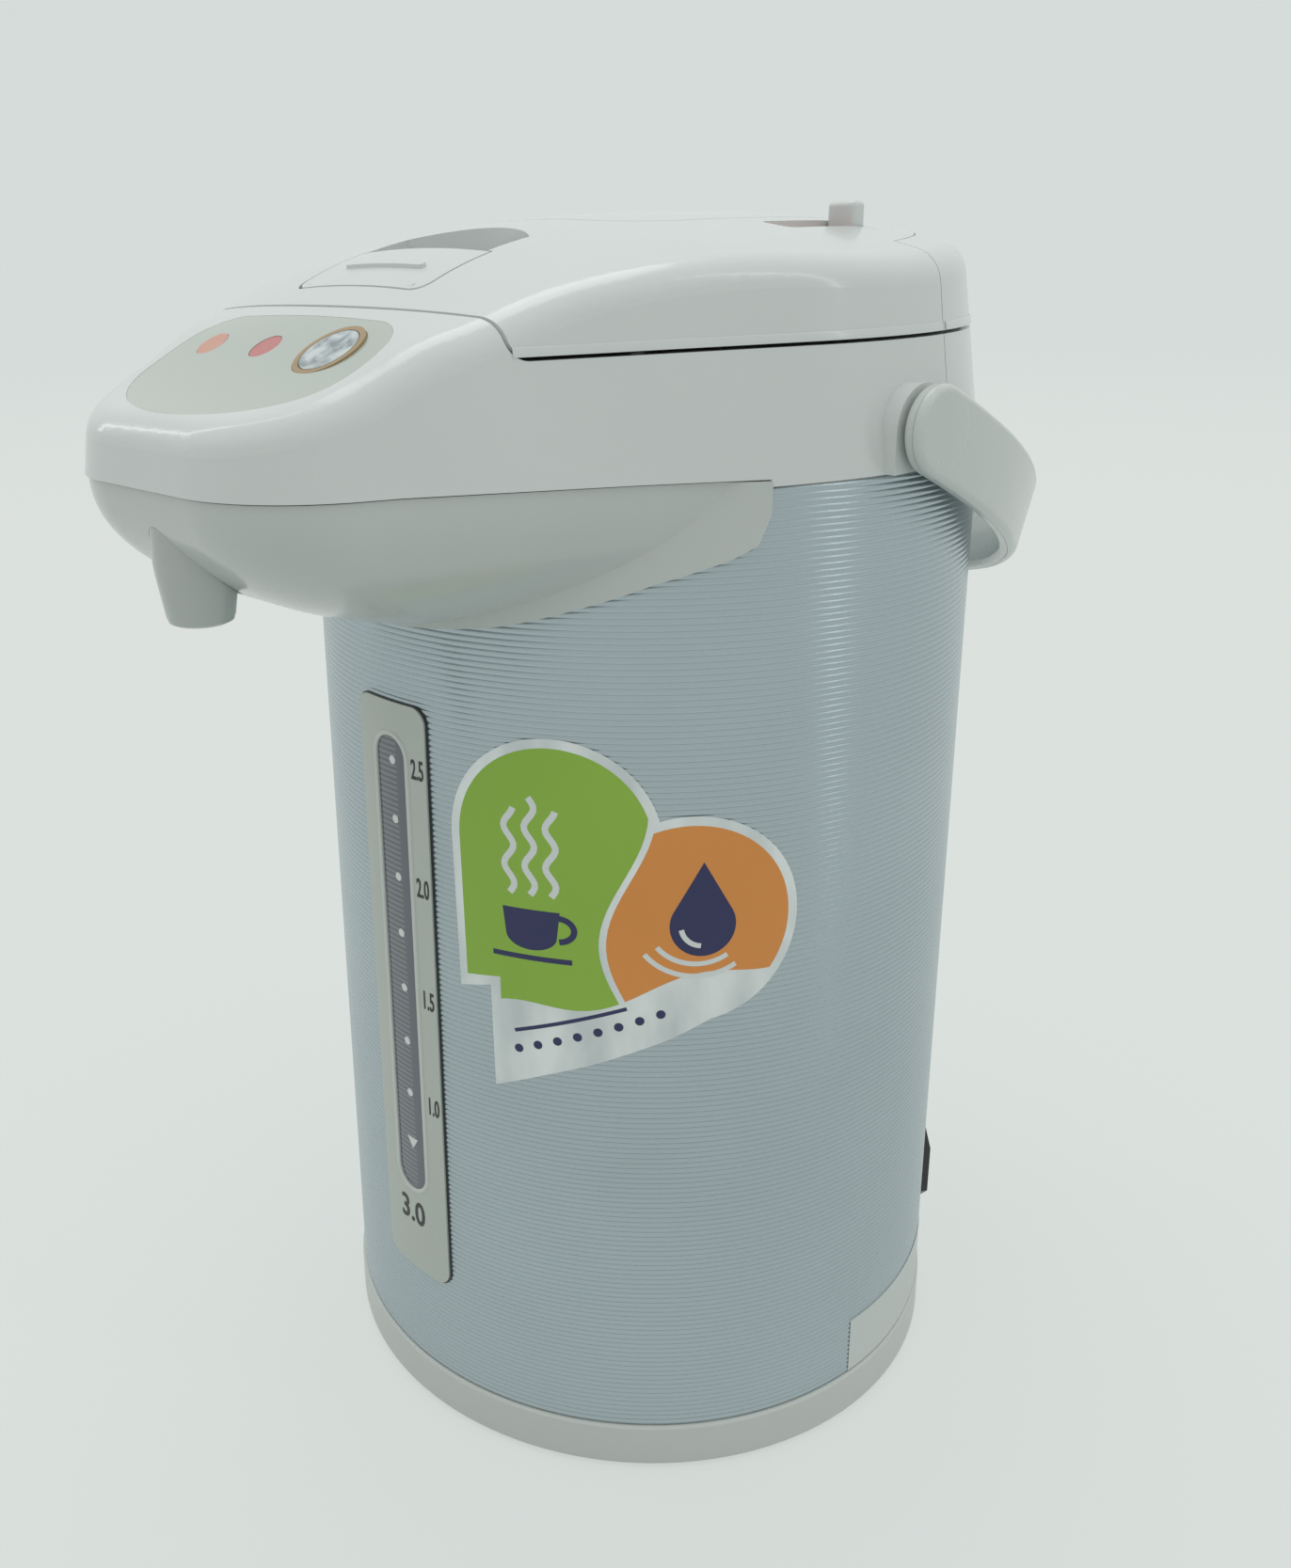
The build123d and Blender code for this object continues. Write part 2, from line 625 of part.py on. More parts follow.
with BuildPart() as outer_sleeve:
    add(band(SLEEVE_R, SLEEVE_R - SLEEVE_T, SLEEVE_LOW + 0.3, SHOULDER_Z - 0.3))
    add(slot_block(0.0), mode=Mode.SUBTRACT)
    add(azimuth_block(SOCKET_AZ, SOCKET_BODY_W + 2 * SEAT_GAP, SOCKET_LOW + 3 - SEAT_GAP,
                      SOCKET_HIGH - 3 + SEAT_GAP, 60, 110), mode=Mode.SUBTRACT)
save(outer_sleeve.part, "outer_sleeve")

with BuildPart() as gauge_plate:
    add(band(SLEEVE_R + GAUGE_T, SLEEVE_R, GAUGE_LOW - 5, GAUGE_HIGH + 5))
    add(gauge_block(GAUGE_W, GAUGE_HIGH - GAUGE_LOW, GAUGE_CORNER), mode=Mode.INTERSECT)
    add(slot_block(0.0), mode=Mode.SUBTRACT)
save(gauge_plate.part, "gauge_plate")

with BuildPart() as gauge_window:
    sleeve_in = SLEEVE_R - SLEEVE_T
    add(band(sleeve_in, sleeve_in - WINDOW_T, SLOT_LOW - 5, SLOT_HIGH + 5))
    add(slot_block(WINDOW_LIP), mode=Mode.INTERSECT)
    glass = band(SLEEVE_R + GAUGE_T - 0.3, sleeve_in - 0.5, SLOT_LOW - 5, SLOT_HIGH + 5) & slot_block(-SEAT_GAP)
    add(glass)
save(gauge_window.part, "gauge_window")

with BuildPart() as gauge_tube:
    add(column(TUBE_R, TUBE_LOW, TUBE_HIGH, 0, PIPE_Y))
    add(column(TUBE_BORE_R, TUBE_LOW - 1, TUBE_HIGH + 1, 0, PIPE_Y), mode=Mode.SUBTRACT)
save(gauge_tube.part, "gauge_tube")

with BuildPart() as lower_hose:
    add(pipe([(OUTLET_Y, HOSE_TOP), (OUTLET_Y, HOSE_Z), (PIPE_Y, HOSE_Z), (PIPE_Y, TUBE_LOW + 4)],
             HOSE_R, TUBE_R + RUN_GAP, HOSE_BEND))
save(lower_hose.part, "lower_hose")

with BuildPart() as anti_tip_valve:
    add(column(VALVE_R, VALVE_LOW, VALVE_HIGH, 0, PIPE_Y))
    add(column(TUBE_R + RUN_GAP, VALVE_LOW - 1, TUBE_HIGH, 0, PIPE_Y), mode=Mode.SUBTRACT)
    add(column(1.8, VALVE_LOW, VALVE_HIGH, 0, PIPE_Y), mode=Mode.SUBTRACT)
    chamber_top = VALVE_SEAT_Z + 2 * BALL_R + BALL_RISE
    add(column(CHAMBER_R, VALVE_SEAT_Z, chamber_top, 0, PIPE_Y), mode=Mode.SUBTRACT)
    add(column(PIPE_R + RUN_GAP, PIPE_LOW, VALVE_HIGH + 1, 0, PIPE_Y), mode=Mode.SUBTRACT)
save(anti_tip_valve.part, "anti_tip_valve")

with BuildPart() as anti_tip_ball:
    with BuildSketch(Plane.XZ.offset(-PIPE_Y)):
        with BuildLine():
            centre_z = VALVE_SEAT_Z + BALL_R + 0.05
            CenterArc((0, centre_z), BALL_R, -90, 180)
            Line((0, centre_z - BALL_R), (0, centre_z + BALL_R))
        make_face()
    revolve(axis=Axis((0, PIPE_Y, 0), (0, 0, 1)))
save(anti_tip_ball.part, "anti_tip_ball")

with BuildPart() as outlet_pipe:
    add(pipe([(PIPE_Y, PIPE_LOW), (PIPE_Y, PIPE_TOP_Z), (SPOUT_Y, PIPE_TOP_Z), (SPOUT_Y, PIPE_END_Z)],
             PIPE_R, PIPE_BORE_R, PIPE_BEND))
save(outlet_pipe.part, "outlet_pipe")

with BuildPart() as nozzle:
    with BuildSketch(Plane.XY.offset(SPOUT_LOW)):
        with Locations((0, SPOUT_Y)):
            Circle(SPOUT_R_LOW)
    with BuildSketch(Plane.XY.offset(SPOUT_HIGH)):
        with Locations((0, SPOUT_Y)):
            Circle(SPOUT_R_HIGH)
    loft()
    fillet(nozzle.edges().filter_by(GeomType.CIRCLE).sort_by(Axis.Z)[0], 1.4)
    add(column(PIPE_R + SEAT_GAP, SPOUT_LOW - 1, SPOUT_HIGH + 1, 0, SPOUT_Y), mode=Mode.SUBTRACT)
save(nozzle.part, "nozzle")


# ================================================================ chin
def chin_form(inset, lift):
    """Inside or outside form of the chin, moved up by lift."""
    with BuildPart() as body:
        for depth in CHIN_STEPS:
            k = sqrt(1 - (depth / CHIN_DEPTH) ** CHIN_POWER)
            z = CHIN_TOP - depth + lift
            with BuildSketch(Plane.XY.offset(z)):
                with BuildLine():
                    CenterArc((0, CHIN_CENTRE_Y * (1 - k)), k * (HEAD_R - inset), 0, 360)
                    for side in (-1, 1):
                        y = CHIN_CENTRE_Y + k * (NOSE_Y - CHIN_CENTRE_Y)
                        CenterArc((side * k * NOSE_X, y), k * (NOSE_R - inset), 0, 360)
                make_hull()
        loft()
    return body.part


notch_y, notch_z = CHIN_SEAM[0]
chin_top_block = side_block(
    [(notch_y - SEAM, notch_z - SEAM / 2)] + [(y, z - SEAM / 2) for y, z in CHIN_SEAM[1:]]
    + [(-160.0, 200.0), (notch_y - SEAM, 200.0)]
)
flap_block = side_block(FLAP_LINE + [(-92.0, 300.0), (FLAP_LINE[0][0], 300.0)])

with BuildPart() as chin_cover:
    add(chin_form(CHIN_INSET, 0.0))
    add(band(SLEEVE_R + SEAT_GAP + WRAP_FLAP_T, SLEEVE_R, 230, CHIN_TOP) & flap_block)
    add(chin_form(CHIN_INSET + CHIN_T, CHIN_T), mode=Mode.SUBTRACT)
    add(column(SLEEVE_R + SEAT_GAP, 200, CHIN_TOP + 10), mode=Mode.SUBTRACT)
    add(chin_top_block, mode=Mode.INTERSECT)
    add(column(SPOUT_R_HIGH + SEAT_GAP, 240, SPOUT_HIGH + 1, 0, SPOUT_Y), mode=Mode.SUBTRACT)
save(chin_cover.part, "chin_cover")

# ================================================================ shoulder housing
shoulder_low = side_block(
    [(120.0, SHOULDER_Z + SEAM / 2), (notch_y, SHOULDER_Z + SEAM / 2)]
    + [(y, z + SEAM / 2) for y, z in CHIN_SEAM] + [(-170.0, 276.5), (-170.0, 420.0), (120.0, 420.0)]
)


def panel_block(grow, low, high):
    """Outline of the control panel as a block."""
    right = [(x + (grow if x else 0), y) for x, y in PANEL_SIDE]
    right[0] = (PANEL_SIDE[0][0], PANEL_SIDE[0][1] + grow)
    right[-1] = (0.0, PANEL_SIDE[-1][1] - grow)
    left = [(-x, y) for x, y in reversed(right[:-1])]
    with BuildPart() as body:
        with BuildSketch(Plane.XY.offset(low)):
            with BuildLine():
                Spline(right + left)
                Line(left[-1], right[0])
            make_face()
        extrude(amount=high - low)
    return body.part


PANEL_FACE = Plane(
    origin=(0, BUTTON_Y, BUTTON_Z), x_dir=(1, 0, 0),
    z_dir=(0, -sin(radians(PANEL_TILT)), cos(radians(PANEL_TILT))),
)


def panel_pin(radius, x, low, high):
    """Round pin square to the panel; low and high are measured from its face."""
    with BuildPart() as body:
        with BuildSketch(PANEL_FACE.offset(low)):
            with Locations((x, 0)):
                Circle(radius)
        extrude(amount=high - low)
    return body.part


PANEL_TOP = head_form(0.05)
PANEL_SEAT = head_form(PANEL_T)
PANEL_UNDER = head_form(PANEL_T - 0.05)

hinge_post = slab(2 * KNUCKLE_MID, HINGE_POST_L, LID_GAP_Z - LID_GAP / 2 - DECK_T, HINGE_Z, 0, HINGE_Y)
hinge_trough = cross_rod(TROUGH_R, -TROUGH_HALF_W, TROUGH_HALF_W, HINGE_Y, HINGE_Z)
handle_pads = Part()
for side in (-1, 1):
    pad_ends = sorted((side * PAD_INSIDE_X, side * PAD_X))
    handle_pads += cross_rod(PAD_R, pad_ends[0], pad_ends[1], PIVOT_Y, PIVOT_Z)
    handle_pads += slab(PAD_X - PAD_INSIDE_X, 2 * PAD_R, SHOULDER_Z, PIVOT_Z, sum(pad_ends) / 2, PIVOT_Y)

with BuildPart() as shoulder_housing:
    add(HEAD_SHELL)
    add(REAR_HALF, mode=Mode.SUBTRACT)
    deck = (MIDDLE - above_gap(-LID_GAP / 2)) & above_gap(-LID_GAP / 2 - DECK_T)
    add(deck)
    add(REAR_HALF & (OUTER - INNER_SEAT), mode=Mode.SUBTRACT)
    add(handle_pads)
    add(ABOVE_SHOULDER_EDGE, mode=Mode.SUBTRACT)
    add(shoulder_low, mode=Mode.INTERSECT)
    lip = band(SLEEVE_R - SLEEVE_T - SEAT_GAP, LIP_R, SHOULDER_Z - LIP_H, SHOULDER_Z + 2.5)
    add(lip)
    add(column(DECK_HOLE_R, 290, 310), mode=Mode.SUBTRACT)
    add(hinge_trough, mode=Mode.SUBTRACT)
    add(hinge_post)
    add(cross_rod(KNUCKLE_R, -KNUCKLE_MID, KNUCKLE_MID, HINGE_Y, HINGE_Z))
    add(cross_rod(HINGE_PIN_R + RUN_GAP, -40, 40, HINGE_Y, HINGE_Z), mode=Mode.SUBTRACT)
    add(panel_block(SEAT_GAP, 280, 320) - PANEL_SEAT, mode=Mode.SUBTRACT)
    add(panel_pin(BUTTON_RING_R + SEAT_GAP, BUTTON_X, -20, 6), mode=Mode.SUBTRACT)
    for name, x in LAMPS:
        add(panel_pin(LAMP_R + SEAT_GAP, x, -20, 6), mode=Mode.SUBTRACT)
    for x in (-POST_X, POST_X):
        for y in (BOARD_Y - POST_STEP, BOARD_Y + POST_STEP):
            add(column(POST_R, BOARD_Z + BOARD_T, 320, x, y) & head_form(SKIN * 0.75))
    latch_pocket = slab(2 * LATCH_HALF_W + 1.2, 13, LATCH_LOW - 0.4, LATCH_LOW + LATCH_T + 0.4, 0, -98)
    add(latch_pocket, mode=Mode.SUBTRACT)
    add(cross_rod(PIN_R + RUN_GAP, -120, 120, PIVOT_Y, PIVOT_Z), mode=Mode.SUBTRACT)
save(shoulder_housing.part, "shoulder_housing")

with BuildPart() as rear_cover:
    add(HEAD_SHELL)
    add(slab(240, 120, 200, 420, 0.0, REAR_SEAM_Y + 60 + SEAM), mode=Mode.INTERSECT)
    add(ABOVE_SHOULDER_EDGE, mode=Mode.SUBTRACT)
    add(shoulder_low, mode=Mode.INTERSECT)
    lip_slot = band(SLEEVE_R - SLEEVE_T, LIP_R - 0.5, SHOULDER_Z - 1, SHOULDER_Z + 2.6)
    add(lip_slot, mode=Mode.SUBTRACT)
    add(hinge_trough, mode=Mode.SUBTRACT)
save(rear_cover.part, "rear_cover")

# ================================================================ control panel
with BuildPart() as panel_plate:
    add((PANEL_TOP - PANEL_UNDER) & panel_block(0.0, 280, 320))
    add(panel_pin(BUTTON_RING_R + SEAT_GAP, BUTTON_X, -20, 6), mode=Mode.SUBTRACT)
    for name, x in LAMPS:
        add(panel_pin(LAMP_R + SEAT_GAP, x, -20, 6), mode=Mode.SUBTRACT)
save(panel_plate.part, "panel_plate")

with BuildPart() as button_ring:
    add(panel_pin(BUTTON_RING_R, BUTTON_X, -3.5, 0.5))
    add(panel_pin(BUTTON_R + 2 * SEAT_GAP, BUTTON_X, -4, 1), mode=Mode.SUBTRACT)
    add(panel_pin(STEM_R + MOVE_GAP, BUTTON_X, -4, 1), mode=Mode.SUBTRACT)
    add(panel_pin(BUTTON_RING_R, BUTTON_X, -4.7, -3.5) - panel_pin(STEM_R + 2 * SEAT_GAP, BUTTON_X, -6, 0))
save(button_ring.part, "button_ring")

with BuildPart() as reboil_button:
    add(panel_pin(BUTTON_R, BUTTON_X, -2.4, 0.5))
    add(panel_pin(STEM_R, BUTTON_X, -STEM_LEN, -2.3))
save(reboil_button.part, "reboil_button")

for name, x in LAMPS:
    lamp = panel_pin(LAMP_R, x, -LAMP_LEN, 0.2)
    save(lamp, name)

with BuildPart() as control_board:
    board_top = BOARD_Z + BOARD_T
    add(slab(BOARD_W, BOARD_L, BOARD_Z, board_top, 0, BOARD_Y))
    stem_y = BUTTON_Y + STEM_LEN * sin(radians(PANEL_TILT))
    add(slab(6, 6, board_top - 0.2, board_top + 0.8, BUTTON_X, stem_y))
    for name, x in LAMPS:
        add(column(1.5, board_top - 0.2, board_top + 4.0, x, BUTTON_Y + 4.5))
    add(slab(12, 5, board_top - 0.2, board_top + 4.5, -12, BOARD_Y - 9))
save(control_board.part, "control_board")

# ================================================================ collar
collar_low = TANK_TOP + TANK_T
collar_high = LID_GAP_Z - LID_GAP / 2 - DECK_T
with BuildPart() as collar_ring:
    add(turned([
        (COLLAR_LOW_R, collar_low), (COLLAR_R_OUT, collar_low), (COLLAR_R_OUT, collar_high - 2.0),
        (COLLAR_FLANGE_R, collar_high - 2.0), (COLLAR_FLANGE_R, collar_high),
        (COLLAR_R_IN, collar_high), (COLLAR_R_IN, collar_low + COLLAR_BASE_T),
        (COLLAR_LOW_R, collar_low + COLLAR_BASE_T),
    ]))
save(collar_ring.part, "collar_ring")


# ================================================================ lid
def lever_block(grow, low, high):
    with BuildPart() as body:
        with BuildSketch(Plane.XY.offset(low)) as outline:
            with Locations((0, (LEVER_FRONT_Y + LEVER_REAR_Y) / 2)):
                Rectangle(2 * (LEVER_HALF_W + grow), LEVER_REAR_Y - LEVER_FRONT_Y + 2 * grow)
            fillet(outline.vertices().sort_by(Axis.Y)[:2], 4.0)
        extrude(amount=high - low)
    return body.part


def recess_block(grow, low, high):
    side = RECESS_HALF_W + grow
    front = LEVER_REAR_Y - 1
    with BuildPart() as body:
        with BuildSketch(Plane.XY.offset(low)):
            with BuildLine():
                Polyline((-side, RECESS_SIDE_Y), (-side, front), (side, front), (side, RECESS_SIDE_Y))
                ThreePointArc((side, RECESS_SIDE_Y), (0, RECESS_REAR_Y + grow), (-side, RECESS_SIDE_Y))
            make_face()
        extrude(amount=high - low)
    return body.part


well_floor_top = WELL_FLOOR + WELL_WALL
lock_mid_y = (LOCK_FRONT_Y + LOCK_REAR_Y) / 2
lock_len = LOCK_REAR_Y - LOCK_FRONT_Y
lid_plate_top = LID_PLATE_Z + LID_PLATE_T
latch_top = LATCH_LOW + LATCH_T

with BuildPart() as lid_cover:
    add(HEAD_SHELL & ABOVE_LID_EDGE)
    front_wall = (ABOVE_LID_EDGE - above_gap(LID_GAP / 2 + 2.0)) & MIDDLE
    add(front_wall & slab(200, 60, 290, 330, 0, LID_PLATE_FRONT - 30 - MOVE_GAP))
    add(REAR_LID_CUT, mode=Mode.SUBTRACT)
    well = lever_block(WELL_WALL, WELL_FLOOR, 340) + recess_block(WELL_WALL, WELL_FLOOR, 340)
    add(well & MIDDLE & ABOVE_LID_EDGE)
    add(lever_block(MOVE_GAP, well_floor_top, 340), mode=Mode.SUBTRACT)
    add(recess_block(0.0, well_floor_top, 340), mode=Mode.SUBTRACT)
    tongue_slot = slab(2 * TONGUE_HALF_W + 1.0, 7.0, WELL_FLOOR - 1, well_floor_top + 1, 0, LEVER_PIVOT_Y + 1.5)
    add(tongue_slot, mode=Mode.SUBTRACT)
    add(slab(2 * LATCH_HALF_W + 1.0, 16, LATCH_LOW - 0.4, latch_top + 0.4, 0, -98), mode=Mode.SUBTRACT)
    add(rounded_outline(0.0, 300, 340), mode=Mode.SUBTRACT)
    lock_box = slab(LOCK_W + 2 * LOCK_WALL, lock_len + 2 * LOCK_WALL, LOCK_FLOOR_Z - LOCK_WALL, 340,
                    LOCK_X, lock_mid_y)
    add(lock_box & MIDDLE)
    add(slab(LOCK_W, lock_len, LOCK_FLOOR_Z, 340, LOCK_X, lock_mid_y, 2.5), mode=Mode.SUBTRACT)
    add(slab(LOCK_SLIT_W, lock_len - 2.5, 310, 340, LOCK_X, lock_mid_y), mode=Mode.SUBTRACT)
    for x, y in SCREW_POSTS:
        add(column(3.5, lid_plate_top, 340, x, y) & MIDDLE)
        add(column(SCREW_R + 0.02, lid_plate_top - 1, lid_plate_top + LID_SCREW_BITE + 2, x, y), mode=Mode.SUBTRACT)
    add(cross_rod(LEVER_PIN_R + 0.02, -LEVER_HALF_W - WELL_WALL, LEVER_HALF_W + WELL_WALL,
                  LEVER_PIVOT_Y, LEVER_PIVOT_Z), mode=Mode.SUBTRACT)
save(lid_cover.part, "lid_cover")

with BuildPart() as lid_rear_cover:
    add(HEAD_SHELL & ABOVE_LID_EDGE)
    add(REAR_LID_ZONE, mode=Mode.INTERSECT)
    add(cross_rod(KNUCKLE_R + 0.3, -HINGE_HALF_W - 0.6, HINGE_HALF_W + 0.6, HINGE_Y, HINGE_Z),
        mode=Mode.SUBTRACT)
    add(slab(2 * KNUCKLE_MID + 1.6, 30, 290, HINGE_Z + 2.0, 0, HINGE_Y), mode=Mode.SUBTRACT)
save(lid_rear_cover.part, "lid_rear_cover")

with BuildPart() as lid_base:
    plate_inset = inset_at(lid_plate_top, SKIN + 1.5 * SEAT_GAP)
    with BuildSketch(Plane.XY.offset(LID_PLATE_Z)):
        with BuildLine():
            outline_circles(plate_inset)
        make_hull()
    extrude(amount=LID_PLATE_T)
    add(slab(240, 100, 290, 320, 0, LID_PLATE_FRONT - 50), mode=Mode.SUBTRACT)
    add(band(CUP_R + CUP_T, CUP_R - 1, CUP_FLOOR, lid_plate_top))
    add(column(CUP_FLANGE_R, CUP_FLOOR, CUP_FLOOR + CUP_T))
    add(column(CUP_R, CUP_FLOOR + CUP_T, lid_plate_top + 1), mode=Mode.SUBTRACT)
    add(column(3.0, CUP_FLOOR - 1, CUP_FLOOR + CUP_T + 1), mode=Mode.SUBTRACT)
    add(slab(2 * KNUCKLE_MID + 1.0, 20, 290, 320, 0, HINGE_Y + 6), mode=Mode.SUBTRACT)
    for side in (-1, 1):
        ends = sorted((side * (KNUCKLE_MID + 0.5), side * HINGE_HALF_W))
        add(cross_rod(KNUCKLE_R, ends[0], ends[1], HINGE_Y, HINGE_Z))
        web_x = (ends[0] + ends[1]) / 2
        add(slab(ends[1] - ends[0], 3.4, LID_PLATE_Z + 0.5, HINGE_Z, web_x, HINGE_Y))
    add(cross_rod(HINGE_PIN_R + 0.02, -40, 40, HINGE_Y, HINGE_Z), mode=Mode.SUBTRACT)
    for x, y in SCREW_POSTS:
        add(column(SCREW_HOLE_R, 290, 320, x, y), mode=Mode.SUBTRACT)
save(lid_base.part, "lid_base")

with BuildPart() as hinge_pin:
    add(cross_rod(HINGE_PIN_R, -HINGE_HALF_W - 0.4, HINGE_HALF_W + 0.4, HINGE_Y, HINGE_Z))
save(hinge_pin.part, "hinge_pin")

with BuildPart() as lid_screws:
    for x, y in SCREW_POSTS:
        add(screw(x, y, LID_PLATE_Z, lid_plate_top + LID_SCREW_BITE))
save(lid_screws.part, "lid_screws")

with BuildPart() as inner_lid:
    add(band(INNER_LID_R, 5.0, CUP_FLOOR - INNER_LID_T, CUP_FLOOR))
    for angle in (0, 120, 240):
        x, y = around(angle, 30)
        add(column(2.0, CUP_FLOOR - 3, CUP_FLOOR + 1, x, y), mode=Mode.SUBTRACT)
save(inner_lid.part, "inner_lid")

with BuildPart() as lid_gasket:
    add(band(GASKET_R, INNER_LID_R + SEAT_GAP, GASKET_LOW, CUP_FLOOR))
save(lid_gasket.part, "lid_gasket")

with BuildPart() as air_valve:
    add(column(AIR_VALVE_R, CUP_FLOOR + CUP_T, CUP_FLOOR + CUP_T + 1.4))
    add(column(2.9, CUP_FLOOR - 0.8, CUP_FLOOR + CUP_T + 0.5))
save(air_valve.part, "air_valve")

# ---------------------------------------------------------------- pump
bellows_low = CUP_FLOOR + CUP_T
fold = (BELLOWS_TOP - bellows_low) / (2 * BELLOWS_FOLDS)
with BuildPart() as bellows:
    outside = []
    for i in range(2 * BELLOWS_FOLDS + 1):
        radius = BELLOWS_R if i % 2 else BELLOWS_R - BELLOWS_FOLD
        outside.append((radius, bellows_low + i * fold))
    inside = [(radius - BELLOWS_WALL, z) for radius, z in reversed(outside)]
    add(turned(outside + inside))
save(bellows.part, "bellows")

with BuildPart() as bellows_cap:
    add(column(BELLOWS_R - 0.5, BELLOWS_TOP, BELLOWS_TOP + CAP_T))
save(bellows_cap.part, "bellows_cap")

with BuildPart() as bellows_spring:
    coil_low = bellows_low + SPRING_WIRE_R + 0.1
    coil_height = BELLOWS_TOP - bellows_low - 2 * SPRING_WIRE_R - 0.2
    with BuildLine() as coil:
        Helix(pitch=SPRING_PITCH, height=coil_height, radius=SPRING_R, center=(0, 0, coil_low))
    wire = coil.wire()
    with BuildSketch(Plane(origin=wire @ 0, z_dir=wire % 0)):
        Circle(SPRING_WIRE_R)
    sweep(path=wire, is_frenet=True)
save(bellows_spring.part, "bellows_spring")

with BuildPart() as push_plate:
    add(rounded_outline(MOVE_GAP, 300, 340) & HEAD_SHELL)
    rim = rounded_outline(MOVE_GAP, 300, 340) - rounded_outline(MOVE_GAP + 1.6, 290, 350)
    add(rim & (MIDDLE - head_form(SKIN + PUSH_RIM)))
    boss = band(PUSH_BOSS_R, PUSH_BOSS_R - 2.0, BELLOWS_TOP + CAP_T, 340)
    add(boss & MIDDLE)
save(push_plate.part, "push_plate")

# ---------------------------------------------------------------- lock slide
knob_y = LOCK_REAR_Y - MOVE_GAP - KNOB_L / 2
with BuildPart() as lock_strip:
    add(slab(LOCK_W - 2 * SEAT_GAP, lock_len - 2 * SEAT_GAP, LOCK_FLOOR_Z, LOCK_FLOOR_Z + STRIP_T,
             LOCK_X, lock_mid_y, 2.4))
    add(slab(LOCK_SLIT_W, lock_len - 2.5, 310, 340, LOCK_X, lock_mid_y), mode=Mode.SUBTRACT)
save(lock_strip.part, "lock_strip")

with BuildPart() as lock_slider:
    add(slab(KNOB_W, KNOB_L, LOCK_FLOOR_Z + STRIP_T + 0.1, KNOB_TOP, LOCK_X, knob_y, 1.6))
    fillet(lock_slider.faces().sort_by(Axis.Z)[-1].edges(), 1.4)
    foot_top = LOCK_FLOOR_Z - LOCK_WALL - 0.2
    add(slab(LOCK_SLIT_W - 0.6, 2.6, foot_top - 0.5, LOCK_FLOOR_Z + 2.0, LOCK_X, knob_y))
    add(slab(7.0, 6.0, foot_top - 1.6, foot_top, LOCK_X, knob_y))
save(lock_slider.part, "lock_slider")

# ---------------------------------------------------------------- release lever and latch
with BuildPart() as release_lever:
    add(lever_block(-MOVE_GAP / 2, 300, 340) & HEAD_SHELL)
    ridge = slab(2 * RIDGE_HALF_W, 1.8, 310, 340, 0, RIDGE_Y, 0.8)
    add(ridge & (head_form(-0.9) - MIDDLE))
    lip = slab(2 * RECESS_HALF_W - 1.5, 1.8, 316.5, 340, 0, LEVER_REAR_Y - 1.3)
    add(lip & MIDDLE)
    for x, half in ((-15.0, 5.0), (0.0, TONGUE_HALF_W), (15.0, 5.0)):
        add(cross_rod(LEVER_BOSS_R, x - half, x + half, LEVER_PIVOT_Y, LEVER_PIVOT_Z))
        add(slab(2 * half, 3.0, LEVER_PIVOT_Z, 330, x, LEVER_PIVOT_Y) & MIDDLE)
    tongue = slab(2 * TONGUE_HALF_W, TONGUE_T, LATCH_LOW + 1.2, 330, 0, LEVER_PIVOT_Y)
    add(tongue & MIDDLE)
    add(cross_rod(LEVER_PIN_R + RUN_GAP, -40, 40, LEVER_PIVOT_Y, LEVER_PIVOT_Z), mode=Mode.SUBTRACT)
save(release_lever.part, "release_lever")

with BuildPart() as lever_pin:
    pin_end = LEVER_HALF_W + WELL_WALL
    add(cross_rod(LEVER_PIN_R, -pin_end, pin_end, LEVER_PIVOT_Y, LEVER_PIVOT_Z))
save(lever_pin.part, "lever_pin")

with BuildPart() as lid_latch:
    latch_mid = (LATCH_FRONT_Y + LATCH_REAR_Y) / 2
    add(slab(2 * LATCH_HALF_W, LATCH_REAR_Y - LATCH_FRONT_Y, LATCH_LOW, latch_top, 0, latch_mid))
    chamfer(lid_latch.edges().filter_by(Axis.X).sort_by(Axis.Y)[0], 1.0)
    slot = slab(2 * TONGUE_HALF_W + 1.0, 2 * LATCH_SLOT, LATCH_LOW - 1, latch_top + 1, 0, LEVER_PIVOT_Y)
    add(slot, mode=Mode.SUBTRACT)
save(lid_latch.part, "lid_latch")

# ================================================================ handle
HANDLE_PLANE = Plane(
    origin=(0, PIVOT_Y, PIVOT_Z), x_dir=(1, 0, 0),
    z_dir=(0, sin(radians(HANDLE_TILT)), cos(radians(HANDLE_TILT))),
)


def handle_strip(low, high):
    """Bent strap of the handle between two offsets from its middle line."""
    left = [(-x, s) for x, s in reversed(HANDLE_PATH[:-1])]
    middle = Spline(HANDLE_PATH + left, tangents=[(0, 1), (0, -1)])
    steps = 40
    inner, outer = [], []
    for i in range(steps + 1):
        point, way = middle @ (i / steps), middle % (i / steps)
        inner.append((point.X + way.Y * low, point.Y - way.X * low))
        outer.append((point.X + way.Y * high, point.Y - way.X * high))
    with BuildPart() as body:
        with BuildSketch(HANDLE_PLANE):
            with BuildLine():
                Spline(outer, tangents=[(0, 1), (0, -1)])
                Line(outer[-1], inner[-1])
                Spline(inner[::-1], tangents=[(0, 1), (0, -1)])
                Line(inner[0], outer[0])
            make_face()
        extrude(amount=HANDLE_W / 2, both=True)
    return body.part


strap_x = HANDLE_PATH[0][0]
strap_in = strap_x - HANDLE_T / 2
strap_split = strap_x + HANDLE_T / 2 - HANDLE_COVER_T
strap_out = strap_x + HANDLE_T / 2


